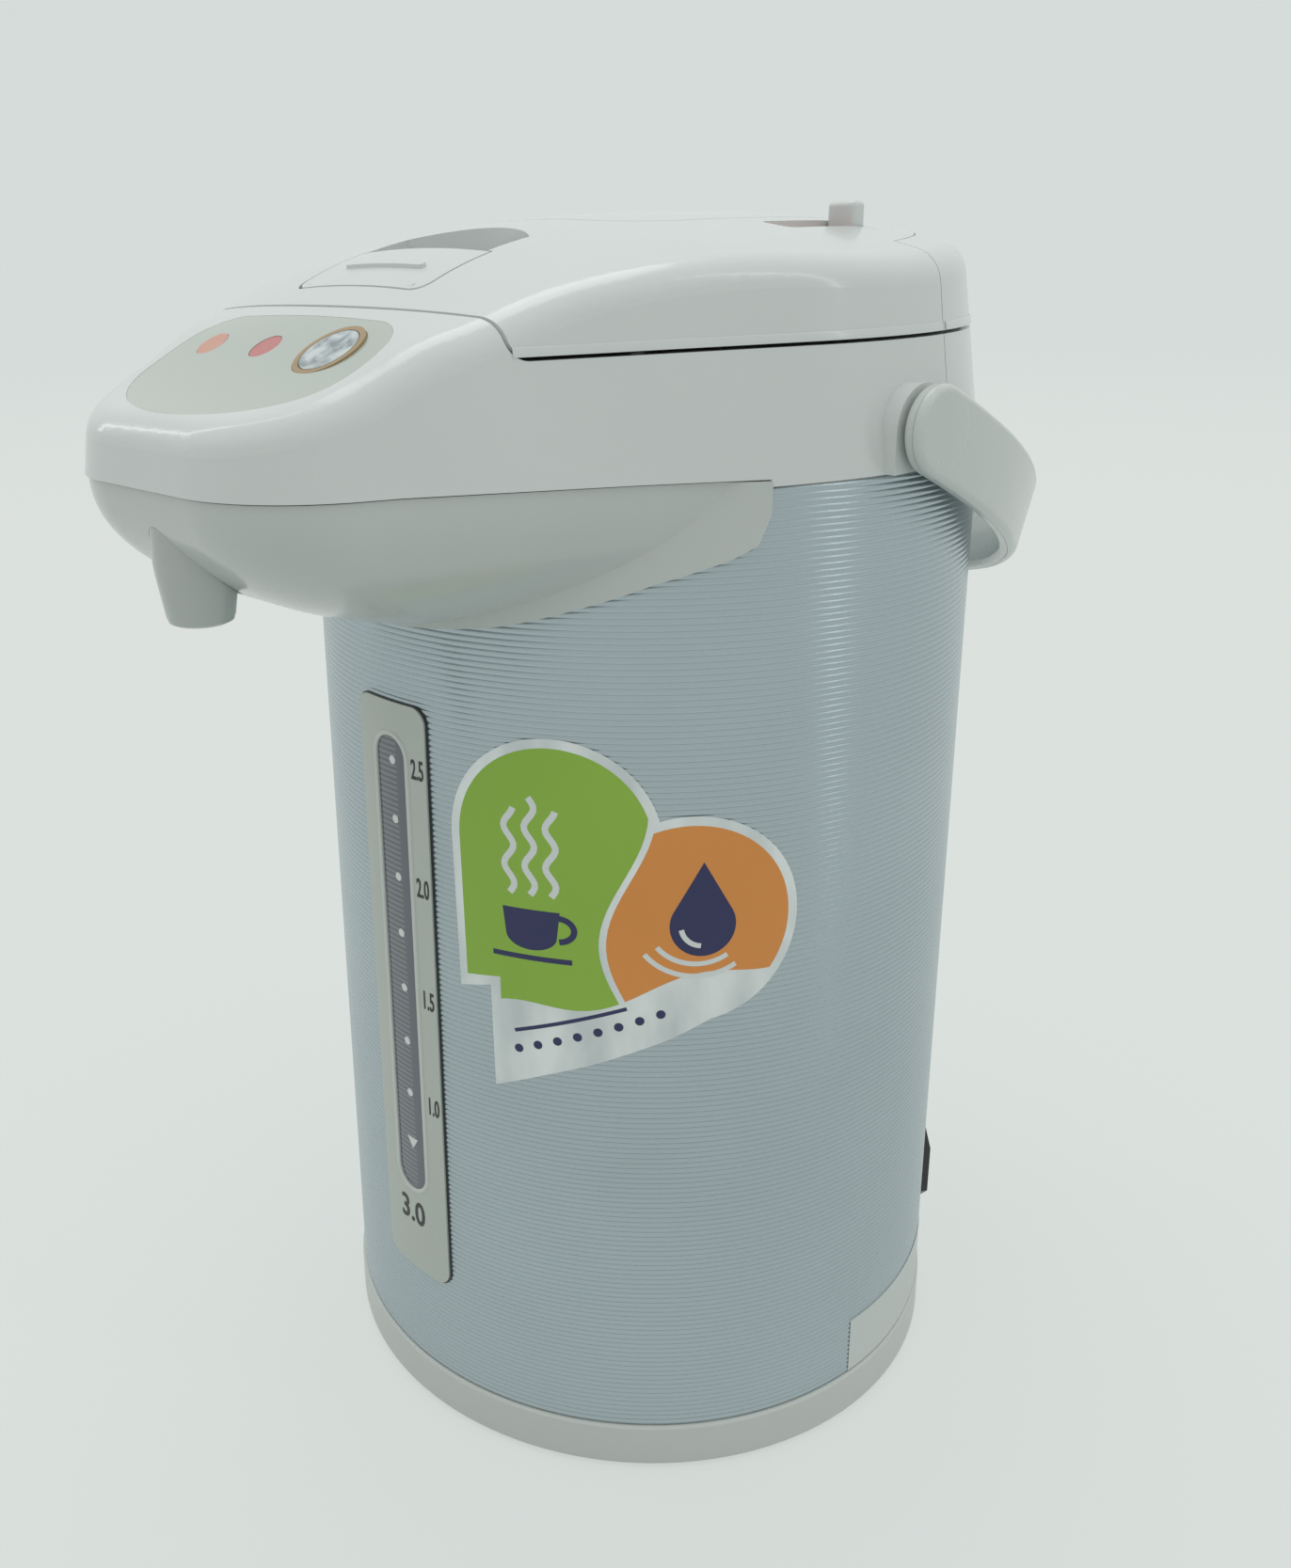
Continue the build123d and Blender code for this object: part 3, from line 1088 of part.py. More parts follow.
def both_sides(radius, near, far):
    """The same rod on both sides of the body."""
    right = cross_rod(radius, near, far, PIVOT_Y, PIVOT_Z)
    left = cross_rod(radius, -far, -near, PIVOT_Y, PIVOT_Z)
    return right, left


with BuildPart() as handle_bail:
    add(handle_strip(-HANDLE_T / 2, HANDLE_T / 2 - HANDLE_COVER_T))
    for rod in both_sides(HANDLE_W / 2, strap_in, strap_split):
        add(rod)
    for rod in both_sides(PIN_R + 0.02, strap_in - 1, strap_out):
        add(rod, mode=Mode.SUBTRACT)
    for rod in both_sides(PIN_HEAD_R + SEAT_GAP, strap_split - 1.5, strap_out):
        add(rod, mode=Mode.SUBTRACT)
save(handle_bail.part, "handle_bail")

with BuildPart() as handle_cover:
    add(handle_strip(HANDLE_T / 2 - HANDLE_COVER_T, HANDLE_T / 2))
    for rod in both_sides(HANDLE_W / 2, strap_split, strap_out):
        add(rod)
save(handle_cover.part, "handle_cover")

with BuildPart() as handle_pins:
    for rod in both_sides(PIN_R, 82.4, strap_split - 0.1):
        add(rod)
    for rod in both_sides(PIN_HEAD_R, strap_split - 1.5 + 0.05, strap_split - 0.1):
        add(rod)
    for rod in both_sides(PIN_R + 1.2, 81.6, 83.6):
        add(rod)
save(handle_pins.part, "handle_pins")

# ================================================================ power inlet
socket_mid = (SOCKET_LOW + SOCKET_HIGH) / 2
with BuildPart() as power_socket:
    flange = azimuth_block(SOCKET_AZ, SOCKET_W, SOCKET_LOW, SOCKET_HIGH, 80, SOCKET_FACE, 7.0)
    add(flange - column(SLEEVE_R + RUN_GAP, 0, 100))
    add(azimuth_block(SOCKET_AZ, SOCKET_BODY_W, SOCKET_LOW + 3, SOCKET_HIGH - 3, SOCKET_BACK, SLEEVE_R + 1))
    add(azimuth_block(SOCKET_AZ, SOCKET_POCKET_W, socket_mid - SOCKET_POCKET_H / 2,
                      socket_mid + SOCKET_POCKET_H / 2, SOCKET_FACE - SOCKET_POCKET_D, 110),
        mode=Mode.SUBTRACT)
save(power_socket.part, "power_socket")

with BuildPart() as socket_pins:
    x_dir = (cos(radians(SOCKET_AZ)), sin(radians(SOCKET_AZ)), 0)
    z_dir = (sin(radians(SOCKET_AZ)), -cos(radians(SOCKET_AZ)), 0)
    face = Plane(origin=(0, 0, socket_mid), x_dir=x_dir, z_dir=z_dir)
    with BuildSketch(face.offset(SOCKET_FACE - SOCKET_POCKET_D)):
        with Locations((-PRONG_X, 0), (PRONG_X, 0)):
            Circle(PRONG_R)
    extrude(amount=SOCKET_POCKET_D - 2.0)
save(socket_pins.part, "socket_pins")

# ================================================================ labels
with BuildPart() as sticker:
    x_dir = (cos(radians(STICKER_AZ)), sin(radians(STICKER_AZ)), 0)
    z_dir = (sin(radians(STICKER_AZ)), -cos(radians(STICKER_AZ)), 0)
    with BuildSketch(Plane(origin=(0, 0, 0), x_dir=x_dir, z_dir=z_dir).offset(50)):
        for across, z, radius_across, radius_up in STICKER_LOBES:
            with Locations((across, z)):
                Ellipse(radius_across, radius_up)
        with BuildLine():
            Polyline(*STICKER_FOOT, close=True)
        make_face()
    extrude(amount=60)
    add(band(SLEEVE_R + STICKER_T, SLEEVE_R, 100, 230), mode=Mode.INTERSECT)
save(sticker.part, "sticker")

with BuildPart() as small_label:
    add(band(SLEEVE_R + STICKER_T, SLEEVE_R, LABEL_LOW, LABEL_HIGH))
    add(sector(LABEL_AZ[0], LABEL_AZ[1], 200, 0, 60), mode=Mode.INTERSECT)
save(small_label.part, "small_label")
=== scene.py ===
import json
import math

import bmesh
import bpy
from mathutils import Matrix, Vector
from mathutils.geometry import delaunay_2d_cdt


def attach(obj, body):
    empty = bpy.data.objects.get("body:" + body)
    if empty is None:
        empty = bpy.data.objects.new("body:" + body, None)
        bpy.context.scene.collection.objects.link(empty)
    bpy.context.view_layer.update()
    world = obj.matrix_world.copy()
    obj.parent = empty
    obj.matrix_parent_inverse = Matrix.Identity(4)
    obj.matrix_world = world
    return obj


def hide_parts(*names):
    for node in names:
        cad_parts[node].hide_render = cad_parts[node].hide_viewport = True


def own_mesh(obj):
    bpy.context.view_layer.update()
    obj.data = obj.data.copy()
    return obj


# Electric air pot. Metres, +Z up, the spout points to -Y. MM turns millimetres into metres.
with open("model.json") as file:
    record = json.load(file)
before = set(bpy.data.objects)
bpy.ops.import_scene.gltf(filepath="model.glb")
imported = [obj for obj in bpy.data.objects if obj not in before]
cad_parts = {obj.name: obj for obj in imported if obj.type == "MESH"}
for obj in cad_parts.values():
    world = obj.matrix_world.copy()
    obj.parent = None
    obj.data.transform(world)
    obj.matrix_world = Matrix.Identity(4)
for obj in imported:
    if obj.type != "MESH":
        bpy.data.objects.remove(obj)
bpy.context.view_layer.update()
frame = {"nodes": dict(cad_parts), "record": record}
NODES = frame["nodes"]
MM = 0.001

# ---------------------------------------------------------------- camera
IMAGE_W, IMAGE_H = 1372, 1667
FOCAL_PX = 1561.0
LENS_AXIS_PX = (549.3, 788.0)
SENSOR_MM = 36.0
CAMERA_PLACE = (0.28530, -0.29949, 0.32431)
CAMERA_YAW, CAMERA_PITCH, CAMERA_ROLL = 48.583, -18.828, -1.427


def make_camera():
    yaw, pitch, roll = (math.radians(a) for a in (CAMERA_YAW, CAMERA_PITCH, CAMERA_ROLL))
    level_share = math.cos(pitch)
    ahead = Vector((-math.sin(yaw) * level_share, math.cos(yaw) * level_share, math.sin(pitch)))
    level = Vector((math.cos(yaw), math.sin(yaw), 0))
    up = level.cross(ahead)
    right = math.cos(roll) * level + math.sin(roll) * up
    top = -math.sin(roll) * level + math.cos(roll) * up
    data = bpy.data.cameras.new("camera")
    data.sensor_width = SENSOR_MM
    data.lens = FOCAL_PX * SENSOR_MM / IMAGE_H
    data.shift_x = (IMAGE_W / 2 - LENS_AXIS_PX[0]) / IMAGE_H
    data.shift_y = (LENS_AXIS_PX[1] - IMAGE_H / 2) / IMAGE_H
    data.clip_start, data.clip_end = 0.02, 50
    camera = bpy.data.objects.new("camera", data)
    turn = Matrix((right, top, -ahead)).transposed().to_4x4()
    camera.matrix_world = Matrix.Translation(CAMERA_PLACE) @ turn
    bpy.context.scene.collection.objects.link(camera)
    bpy.context.scene.camera = camera


# ---------------------------------------------------------------- materials
RIB_PITCH = 1.5                     # ribs of the metal sleeve
WAVE_TURN = 2 * math.pi / 20        # one turn of the wave texture at scale 1
MIX_A, MIX_B, MIX_OUT = 6, 7, 2     # colour sockets of the Mix node; its names are not unique
LEAST_ROUGH = 0.02
GLOSS_SHARE, GLOSS_MOST = 0.15, 0.04    # how uneven a plastic's roughness is: its share, the most
REFLECTION_TO_SHADE = (1.6, 2.4)            # across the window, the stripes of painted reflection give way to painted shade between these places


def linear(red, green, blue):
    """Colour as it shows on a display, 0 to 255, to the renderer's linear values."""
    out = []
    for value in (red, green, blue):
        share = value / 255
        out.append(share / 12.92 if share <= 0.04045 else ((share + 0.055) / 1.055) ** 2.4)
    return (*out, 1.0)


def shade(colour, factor):
    return tuple(min(1.0, c * factor) for c in colour[:3]) + (1.0,)


class Paint:
    """A procedural material: colour mottle, uneven gloss and fine grain."""

    def __init__(self, name, colour, rough, **socket_values):
        self.material = bpy.data.materials.new(name)
        self.material.use_nodes = True
        self.tree = self.material.node_tree
        self.shader = self.tree.nodes["Principled BSDF"]
        self.colour = colour
        self.rough = rough
        self.place = self.node("ShaderNodeTexCoord").outputs["Object"]
        self.shader.inputs["Base Color"].default_value = colour
        self.shader.inputs["Roughness"].default_value = rough
        for socket, value in socket_values.items():
            self.shader.inputs[socket.replace("_", " ")].default_value = value

    def node(self, kind, **values):
        made = self.tree.nodes.new(kind)
        for key, value in values.items():
            setattr(made, key, value)
        return made

    def link(self, a, b):
        self.tree.links.new(a, b)

    def noise(self, size_mm, detail=3.0, stretch=None):
        """Noise whose features are about size_mm across."""
        where = self.place
        if stretch:
            mapping = self.node("ShaderNodeMapping")
            mapping.inputs["Scale"].default_value = stretch
            self.link(where, mapping.inputs["Vector"])
            where = mapping.outputs["Vector"]
        made = self.node("ShaderNodeTexNoise")
        made.inputs["Scale"].default_value = 1 / (size_mm * MM)
        made.inputs["Detail"].default_value = detail
        self.link(where, made.inputs["Vector"])
        return made.outputs["Fac"]

    def spread(self, value, low, high, from_low=0.3, from_high=0.7):
        made = self.node("ShaderNodeMapRange")
        ends = {"From Min": from_low, "From Max": from_high, "To Min": low, "To Max": high}
        for socket, number in ends.items():
            made.inputs[socket].default_value = number
        self.link(value, made.inputs["Value"])
        return made.outputs["Result"]

    def blend(self, factor, first, second):
        """Mix of two colours or colour outputs."""
        made = self.node("ShaderNodeMix", data_type="RGBA")
        self.link(factor, made.inputs["Factor"])
        for socket, value in ((made.inputs[MIX_A], first), (made.inputs[MIX_B], second)):
            if isinstance(value, bpy.types.NodeSocket):
                self.link(value, socket)
            else:
                socket.default_value = value
        return made.outputs[MIX_OUT]

    def clouds(self, value, first, second, *ends):
        """Base colour that goes from first to second as value goes between its ends."""
        mixed = self.blend(self.spread(value, 0, 1, *ends), first, second)
        self.link(mixed, self.shader.inputs["Base Color"])

    def mottle(self, size_mm, amount):
        low, high = shade(self.colour, 1 - amount), shade(self.colour, 1 + amount)
        self.clouds(self.noise(size_mm), low, high)

    def uneven_gloss(self, size_mm, amount):
        low, high = max(LEAST_ROUGH, self.rough - amount), self.rough + amount
        self.link(self.spread(self.noise(size_mm, 4.0), low, high), self.shader.inputs["Roughness"])

    def grain(self, size_mm, height_mm, strength=0.3, stretch=None):
        bump = self.node("ShaderNodeBump")
        bump.inputs["Strength"].default_value = strength
        bump.inputs["Distance"].default_value = height_mm * MM
        self.link(self.noise(size_mm, 2.0, stretch), bump.inputs["Height"])
        self.link(bump.outputs["Normal"], self.shader.inputs["Normal"])


def plastic(name, colour, rough, mottle=0.02, grain_mm=7.0, grain_height=0.008, **values):
    paint = Paint(name, colour, rough, **values)
    paint.mottle(60.0, mottle)
    paint.uneven_gloss(25.0, min(GLOSS_MOST, rough * GLOSS_SHARE))
    paint.grain(grain_mm, grain_height)
    return paint.material


def brushed(name, colour, rough=0.3, stretch=(1, 1, 30)):
    paint = Paint(name, colour, rough, Metallic=1.0)
    paint.mottle(8.0, 0.08)
    paint.uneven_gloss(3.0, 0.08)
    paint.grain(1.5, 0.02, 0.4, stretch)
    return paint.material


def sleeve_paint():
    """Satin blue-grey metal film."""
    paint = Paint("sleeve_metal", linear(176, 188, 193), 0.24, Metallic=0.8)
    paint.mottle(70.0, 0.03)
    paint.uneven_gloss(40.0, 0.02)
    paint.grain(14.0, 0.002)
    return paint.material


def window_paint():
    """Smoked clear window, with the sleeve's ribs painted in it as stripes of reflection, and
    painted shade of the tube behind it on one side.
    """
    paint = Paint("window_smoke", linear(92, 99, 106), 0.12, Coat_Weight=0.6, Coat_Roughness=0.04)
    wave = paint.node("ShaderNodeTexWave", wave_type="BANDS", bands_direction="Z")
    wave.inputs["Scale"].default_value = WAVE_TURN / (RIB_PITCH * MM)
    wave.inputs["Distortion"].default_value = 0.0
    paint.link(paint.place, wave.inputs["Vector"])
    # stripes of painted reflection of the ribbed sleeve, darker and lighter
    reflection_bands = paint.spread(wave.outputs["Fac"], 0, 1, 0.35, 0.65)
    rib_reflection = paint.blend(reflection_bands, linear(84, 91, 99), linear(118, 126, 131))
    axes = paint.node("ShaderNodeSeparateXYZ")
    paint.link(paint.place, axes.inputs["Vector"])
    # to one side the stripes fade into plain painted shade of the tube behind the window
    near, far = REFLECTION_TO_SHADE
    side = paint.spread(axes.outputs["X"], 0, 1, near * MM, far * MM)
    paint.link(paint.blend(side, rib_reflection, linear(86, 93, 103)), paint.shader.inputs["Base Color"])
    return paint.material


def button_paint():
    """Silver print that shimmers unevenly."""
    paint = Paint("button_silver", linear(188, 196, 200), 0.22, Metallic=0.55)
    paint.clouds(paint.noise(4.0, 4.0), linear(150, 160, 166), linear(224, 230, 232), 0.38, 0.62)
    paint.grain(0.5, 0.01, 0.3)
    return paint.material


def foil_paint():
    """Silver foil edge of the sticker, with darker and lighter streaks of painted glint."""
    paint = Paint("sticker_foil", linear(212, 219, 218), 0.22, Metallic=0.6)
    # streaks of painted glint, darker and lighter, across the foil
    painted_glints = paint.noise(14.0, 3.0, (1, 1, 0.4))
    paint.clouds(painted_glints, linear(196, 204, 205), linear(228, 233, 232), 0.35, 0.65)
    paint.grain(1.5, 0.006)
    return paint.material


def coat(weight, rough):
    """Values of a clear coat."""
    return {"Coat_Weight": weight, "Coat_Roughness": rough}


MATERIALS = {
    "white_plastic": plastic("white_plastic", linear(216, 221, 219), 0.2, **coat(0.35, 0.06)),
    "chin_plastic": plastic("chin_plastic", linear(200, 206, 203), 0.22, **coat(0.3, 0.08)),
    # the chin's plastic made darker: painted shade on the spout mouth
    "nozzle_shaded_plastic": plastic("nozzle_shaded_plastic", linear(184, 190, 187), 0.24, **coat(0.3, 0.08)),
    "handle_plastic": plastic("handle_plastic", linear(206, 213, 209), 0.26, **coat(0.25, 0.1)),
    "sleeve_metal": sleeve_paint(),
    "base_plastic": plastic("base_plastic", linear(208, 213, 209), 0.4, 0.02, 3.0, 0.01),
    "foot_plastic": plastic("foot_plastic", linear(120, 122, 122), 0.5, 0.04, 0.6, 0.03),
    "rubber_grey": plastic("rubber_grey", linear(70, 70, 70), 0.8, 0.05, 0.5, 0.03),
    "silicone": plastic("silicone", linear(205, 202, 194), 0.45, 0.03, 1.2, 0.02,
                        Subsurface_Weight=0.15),
    "panel_film": plastic("panel_film", linear(190, 198, 189), 0.16, 0.015, 6.0, 0.004,
                          Metallic=0.2, **coat(0.5, 0.04)),
    "gauge_film": plastic("gauge_film", linear(188, 195, 188), 0.3, 0.015, 3.0, 0.004,
                          Metallic=0.3),
    "gauge_clear": window_paint(),
    "clear_glass": plastic("clear_glass", linear(225, 235, 238), 0.05, 0.02, 2.0, 0.004,
                           Transmission_Weight=0.9),
    "button_silver": button_paint(),
    "ring_gold": plastic("ring_gold", linear(176, 150, 112), 0.3, 0.05, 2.0, 0.004, Metallic=0.3),
    "lamp_red": plastic("lamp_red", linear(214, 126, 124), 0.25, 0.05, 2.0, 0.004,
                        Subsurface_Weight=0.2),
    "lamp_orange": plastic("lamp_orange", linear(230, 160, 140), 0.25, 0.05, 2.0, 0.004,
                           Subsurface_Weight=0.2),
    "strip_red": plastic("strip_red", linear(222, 150, 150), 0.4, 0.04, 2.0, 0.006),
    "steel": brushed("steel", linear(196, 196, 192)),
    "screw_steel": brushed("screw_steel", linear(200, 200, 198), 0.22, (1, 1, 1)),
    "aluminium": brushed("aluminium", linear(190, 191, 193), 0.4, (1, 1, 1)),
    "inner_plastic": plastic("inner_plastic", linear(212, 214, 210), 0.4),
    "black_plastic": plastic("black_plastic", linear(44, 46, 48), 0.4, 0.08, 1.5, 0.01),
    "board_green": plastic("board_green", linear(70, 120, 80), 0.4, 0.2, 2.0, 0.05),
    "wool": plastic("wool", linear(214, 210, 200), 0.9, 0.08, 0.8, 0.15),
    "brass": brushed("brass", linear(190, 160, 96), 0.25, (1, 1, 1)),
    "label_print": foil_paint(),
    "label_white": plastic("label_white", linear(214, 220, 217), 0.45, 0.015, 3.0, 0.004),
}
INK = {
    "green": plastic("print_green", linear(146, 188, 66), 0.3, 0.03, 5.0, 0.003),
    "orange": plastic("print_orange", linear(228, 148, 70), 0.3, 0.03, 5.0, 0.003),
    "white": plastic("print_white", linear(224, 230, 228), 0.35, 0.01, 5.0, 0.003),
    "navy": plastic("print_navy", linear(40, 44, 90), 0.35, 0.05, 5.0, 0.003),
    # dark ink of the digits, also used as painted shadow in the strip round the gauge plate
    "dark_print_and_shadow": plastic("print_and_shadow_dark", linear(44, 47, 48), 0.4, 0.05, 5.0, 0.003),
    "pale": plastic("rim_pale", linear(206, 212, 207), 0.3, 0.015, 5.0, 0.004),
}


def dress_nodes():
    slot_of = {entry["node"]: entry["material_slot"] for entry in frame["record"]["subparts"]}
    for name, node in NODES.items():
        node.data.materials.clear()
        node.data.materials.append(MATERIALS[slot_of[name]])


# ---------------------------------------------------------------- mesh helpers
SHARP_EDGE = math.radians(35)
SAME_PLACE = 1e-7               # metres


def new_piece(name, mesh, material, body, smooth=True):
    mesh.materials.append(material)
    for face in mesh.polygons:
        face.use_smooth = smooth
    mesh.set_sharp_from_angle(angle=SHARP_EDGE)
    piece = bpy.data.objects.new(name, mesh)
    bpy.context.scene.collection.objects.link(piece)
    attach(piece, body)
    return piece


def mesh_from(name, points, faces):
    mesh = bpy.data.meshes.new(name)
    mesh.from_pydata([Vector(p) * MM for p in points], [], faces)
    mesh.update()
    return mesh


def solid_from(name, points, faces):
    """Mesh with doubled points joined, empty faces dropped and all faces turned outwards."""
    mesh = mesh_from(name, points, faces)
    tool = bmesh.new()
    tool.from_mesh(mesh)
    bmesh.ops.remove_doubles(tool, verts=tool.verts[:], dist=SAME_PLACE)
    bmesh.ops.dissolve_degenerate(tool, edges=tool.edges[:], dist=SAME_PLACE)
    bmesh.ops.recalc_face_normals(tool, faces=tool.faces[:])
    tool.to_mesh(mesh)
    tool.free()
    return mesh


def ring_faces(rows, count, first=0, closed=False):
    """Faces between rows of count points each, and from the last row to the first when closed."""
    faces = []
    for i in range(rows if closed else rows - 1):
        a, b = first + i * count, first + (i + 1) % rows * count
        for j in range(count):
            k = (j + 1) % count
            faces.append((a + j, a + k, b + k, b + j))
    return faces


def tube_faces(rows, count):
    """Faces of an open run of rows, with one more over each end."""
    last = (rows - 1) * count
    ends = [tuple(range(count)), tuple(last + j for j in reversed(range(count)))]
    return ring_faces(rows, count) + ends


def evenly(low, high, steps):
    return [low + (high - low) * i / steps for i in range(steps + 1)]


SLEEVE_R = 90.0                 # outside of the metal sleeve


def round_body(across, z, radius):
    """Point on the body: arc length from the front, measured on the sleeve, and height."""
    turn = across / SLEEVE_R
    return (radius * math.sin(turn), -radius * math.cos(turn), z)


def turned_left(outline):
    """The same closed outline, counter-clockwise."""
    area = 0.0
    for (x0, z0), (x1, z1) in zip(outline, outline[1:] + outline[:1]):
        area += x0 * z1 - x1 * z0
    return outline if area > 0 else outline[::-1]


PATCH_STEP = 2.0                # widest strip of a bent patch
CDT_INSIDE, CDT_NEAR = 1, 1e-4  # keep only the faces inside the outlines; nearer spots are joined


def wrapped_patch(name, outlines, low_r, high_r, material, body, slot=None, keep=None):
    """Thin patch bent round the body, from closed (across, z) outlines laid over each other.

    keep takes the set of outlines that a spot lies in, by number, and says whether it is covered;
    without it the patch covers all of them.
    """
    flat, rings = [], []
    for outline in outlines:
        rings.append(list(range(len(flat), len(flat) + len(outline))))
        flat += [Vector(spot) for spot in turned_left(outline)]
    spots, _, faces, _, _, owners = delaunay_2d_cdt(flat, [], rings, CDT_INSIDE, CDT_NEAR)
    patch = bmesh.new()
    verts = [patch.verts.new((spot.x, spot.y, 0)) for spot in spots]
    for face, inside in zip(faces, owners):
        if inside and (keep is None or keep(set(inside))):
            patch.faces.new([verts[k] for k in face])
    bmesh.ops.delete(patch, geom=[v for v in patch.verts if not v.link_faces], context="VERTS")
    places = [vert.co.x for vert in patch.verts]
    cut = min(places) + PATCH_STEP
    while cut < max(places):
        everything = patch.verts[:] + patch.edges[:] + patch.faces[:]
        bmesh.ops.bisect_plane(patch, geom=everything, plane_co=(cut, 0, 0), plane_no=(1, 0, 0))
        cut += PATCH_STEP
    made = bmesh.ops.extrude_face_region(patch, geom=patch.faces[:])
    for vert in (v for v in made["geom"] if isinstance(v, bmesh.types.BMVert)):
        vert.co.z = 1.0         # marks the outer face until the patch is bent
    for vert in patch.verts:
        radius = high_r if vert.co.z > 0.5 else low_r
        vert.co = Vector(round_body(vert.co.x, vert.co.y, radius)) * MM
    bmesh.ops.recalc_face_normals(patch, faces=patch.faces[:])
    mesh = bpy.data.meshes.new(name)
    patch.to_mesh(mesh)
    patch.free()
    return new_piece(name, mesh, material, body, smooth=False)


def arc_points(cx, cz, rx, rz, start, end, count):
    """Points along an ellipse, angles in degrees."""
    out = []
    for i in range(count + 1):
        turn = math.radians(start + (end - start) * i / count)
        out.append((cx + rx * math.cos(turn), cz + rz * math.sin(turn)))
    return out


def circle(x, z, radius, spots):
    return arc_points(x, z, radius, radius, 0, 360 - 360 / spots, spots - 1)


def rounded_box(half_w, low, high, corner, steps=8):
    """Outline of an upright box with round corners."""
    top, bottom = high - corner, low + corner
    out = []
    for side, level, start in ((1, top, 0), (-1, top, 90), (-1, bottom, 180), (1, bottom, 270)):
        out += arc_points(side * (half_w - corner), level, corner, corner, start, start + 90, steps)
    return out


def stroke(path, width):
    """Closed outline of a line of that width along (x, z) points."""
    left, right = [], []
    for i, (x, z) in enumerate(path):
        before, after = path[max(i - 1, 0)], path[min(i + 1, len(path) - 1)]
        way = Vector((after[0] - before[0], after[1] - before[1])).normalized() * (width / 2)
        left.append((x - way.y, z + way.x))
        right.append((x + way.y, z - way.x))
    return left + right[::-1]


# ---------------------------------------------------------------- ribbed sleeve
SLEEVE_INSIDE_R = 89.2
SLEEVE_LOW, SLEEVE_HIGH = 14.3, 271.1
RIB_DEPTH = 0.26
RIB_SHAPE = ((0.0, 1.0), (0.22, 0.25), (0.5, 0.0), (0.78, 0.25))    # shares of the pitch and depth
SLEEVE_SEGMENTS = 192
GAUGE_HALF_W = 13.2
GAUGE_LOW, GAUGE_HIGH = 45.0, 216.0
GAUGE_CORNER = 4.5
SHADOW_STRIP_W = 0.3              # dark strip of painted shadow that shows round the gauge plate
SOCKET_AZ, SOCKET_HALF_W = 145.0, 16.1
SOCKET_CUT_LOW, SOCKET_CUT_HIGH = 24.9, 49.1
GAUGE_LAP, SOCKET_LAP = 2.0, 0.5    # how far the sleeve reaches in under them


def ribbed_sleeve():
    """The metal sleeve with a groove every rib pitch, open behind the gauge plate and the inlet."""
    heights, radii = [], []
    count = int((SLEEVE_HIGH - SLEEVE_LOW) / RIB_PITCH)
    pitch = (SLEEVE_HIGH - SLEEVE_LOW) / count
    for i in range(count):
        base = SLEEVE_LOW + i * pitch
        for share, depth in RIB_SHAPE:
            heights.append(base + share * pitch)
            radii.append(SLEEVE_R - RIB_DEPTH * depth)
    heights.append(SLEEVE_HIGH)
    radii.append(SLEEVE_R - RIB_DEPTH)
    heights += [SLEEVE_HIGH, SLEEVE_LOW]
    radii += [SLEEVE_INSIDE_R, SLEEVE_INSIDE_R]
    rows = len(heights)
    points, faces = [], []
    for z, radius in zip(heights, radii):
        for j in range(SLEEVE_SEGMENTS):
            turn = 2 * math.pi * j / SLEEVE_SEGMENTS
            points.append((radius * math.sin(turn), -radius * math.cos(turn), z))
    gauge_turn = (GAUGE_HALF_W - GAUGE_LAP) / SLEEVE_R
    socket_turn = (SOCKET_HALF_W - SOCKET_LAP) / SLEEVE_R
    for i in range(rows):
        k = (i + 1) % rows
        z_mid = (heights[i] + heights[k]) / 2
        for j in range(SLEEVE_SEGMENTS):
            turn = 2 * math.pi * (j + 0.5) / SLEEVE_SEGMENTS
            from_front = min(turn, 2 * math.pi - turn)
            outside = i < rows - 2
            by_gauge = from_front < gauge_turn
            if outside and by_gauge and GAUGE_LOW + GAUGE_LAP < z_mid < GAUGE_HIGH - GAUGE_LAP:
                continue
            by_socket = abs(turn - math.radians(SOCKET_AZ)) < socket_turn
            if outside and by_socket and SOCKET_CUT_LOW < z_mid < SOCKET_CUT_HIGH:
                continue
            if i == rows - 2 and (by_gauge or by_socket):
                continue
            j2 = (j + 1) % SLEEVE_SEGMENTS
            a, b = i * SLEEVE_SEGMENTS, k * SLEEVE_SEGMENTS
            faces.append((a + j, a + j2, b + j2, b + j))
    piece = new_piece("sleeve_ribbed", mesh_from("sleeve_ribbed", points, faces),
                      MATERIALS["sleeve_metal"], "pot")
    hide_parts("outer_sleeve")


# ---------------------------------------------------------------- level gauge
PLATE_FACE_R = 90.9
WINDOW_FACE_R = 90.6
INK_RISE, INK_SINK = 0.12, 0.02     # how far prints stand over what they lie on, and reach into it
INK_WEIGHT = 0.012                  # how much the strokes of the digits are widened
WINDOW_INK_R = (WINDOW_FACE_R - INK_SINK, WINDOW_FACE_R + INK_RISE)
SLOT_HALF_W = 5.8
SLOT_LOW, SLOT_HIGH = 72.0, 207.0
SLOT_STEPS = 16
RIM_SECTION = ((-0.15, -0.5), (-0.15, 0.15), (0.15, 0.4), (0.6, 0.45), (1.05, 0.25),
               (1.25, -0.1))        # out from the slot's edge, up from the plate
MARK_PITCH = 16.2                   # a quarter litre
MARK_TOP_Z = 200.3
MARK_COUNT = 7
MARK_X, MARK_R = 0.6, 1.15
LOW_MARK = [(-1.6, 88.6), (2.8, 88.6), (MARK_X, 85.2)]
NUMBERS = ("2.5", "2.0", "1.5", "1.0")      # at every second mark, from the top
NUMBER_X, NUMBER_DROP, NUMBER_H, NUMBER_NARROW = 10.2, 0.6, 5.4, 0.5
CAPACITY_X, CAPACITY_Z, CAPACITY_H, CAPACITY_NARROW = -0.8, 64.2, 7.6, 0.85
# how far the dark strip of painted shadow round the plate stands out
SHADOW_STRIP_RISE = 0.4


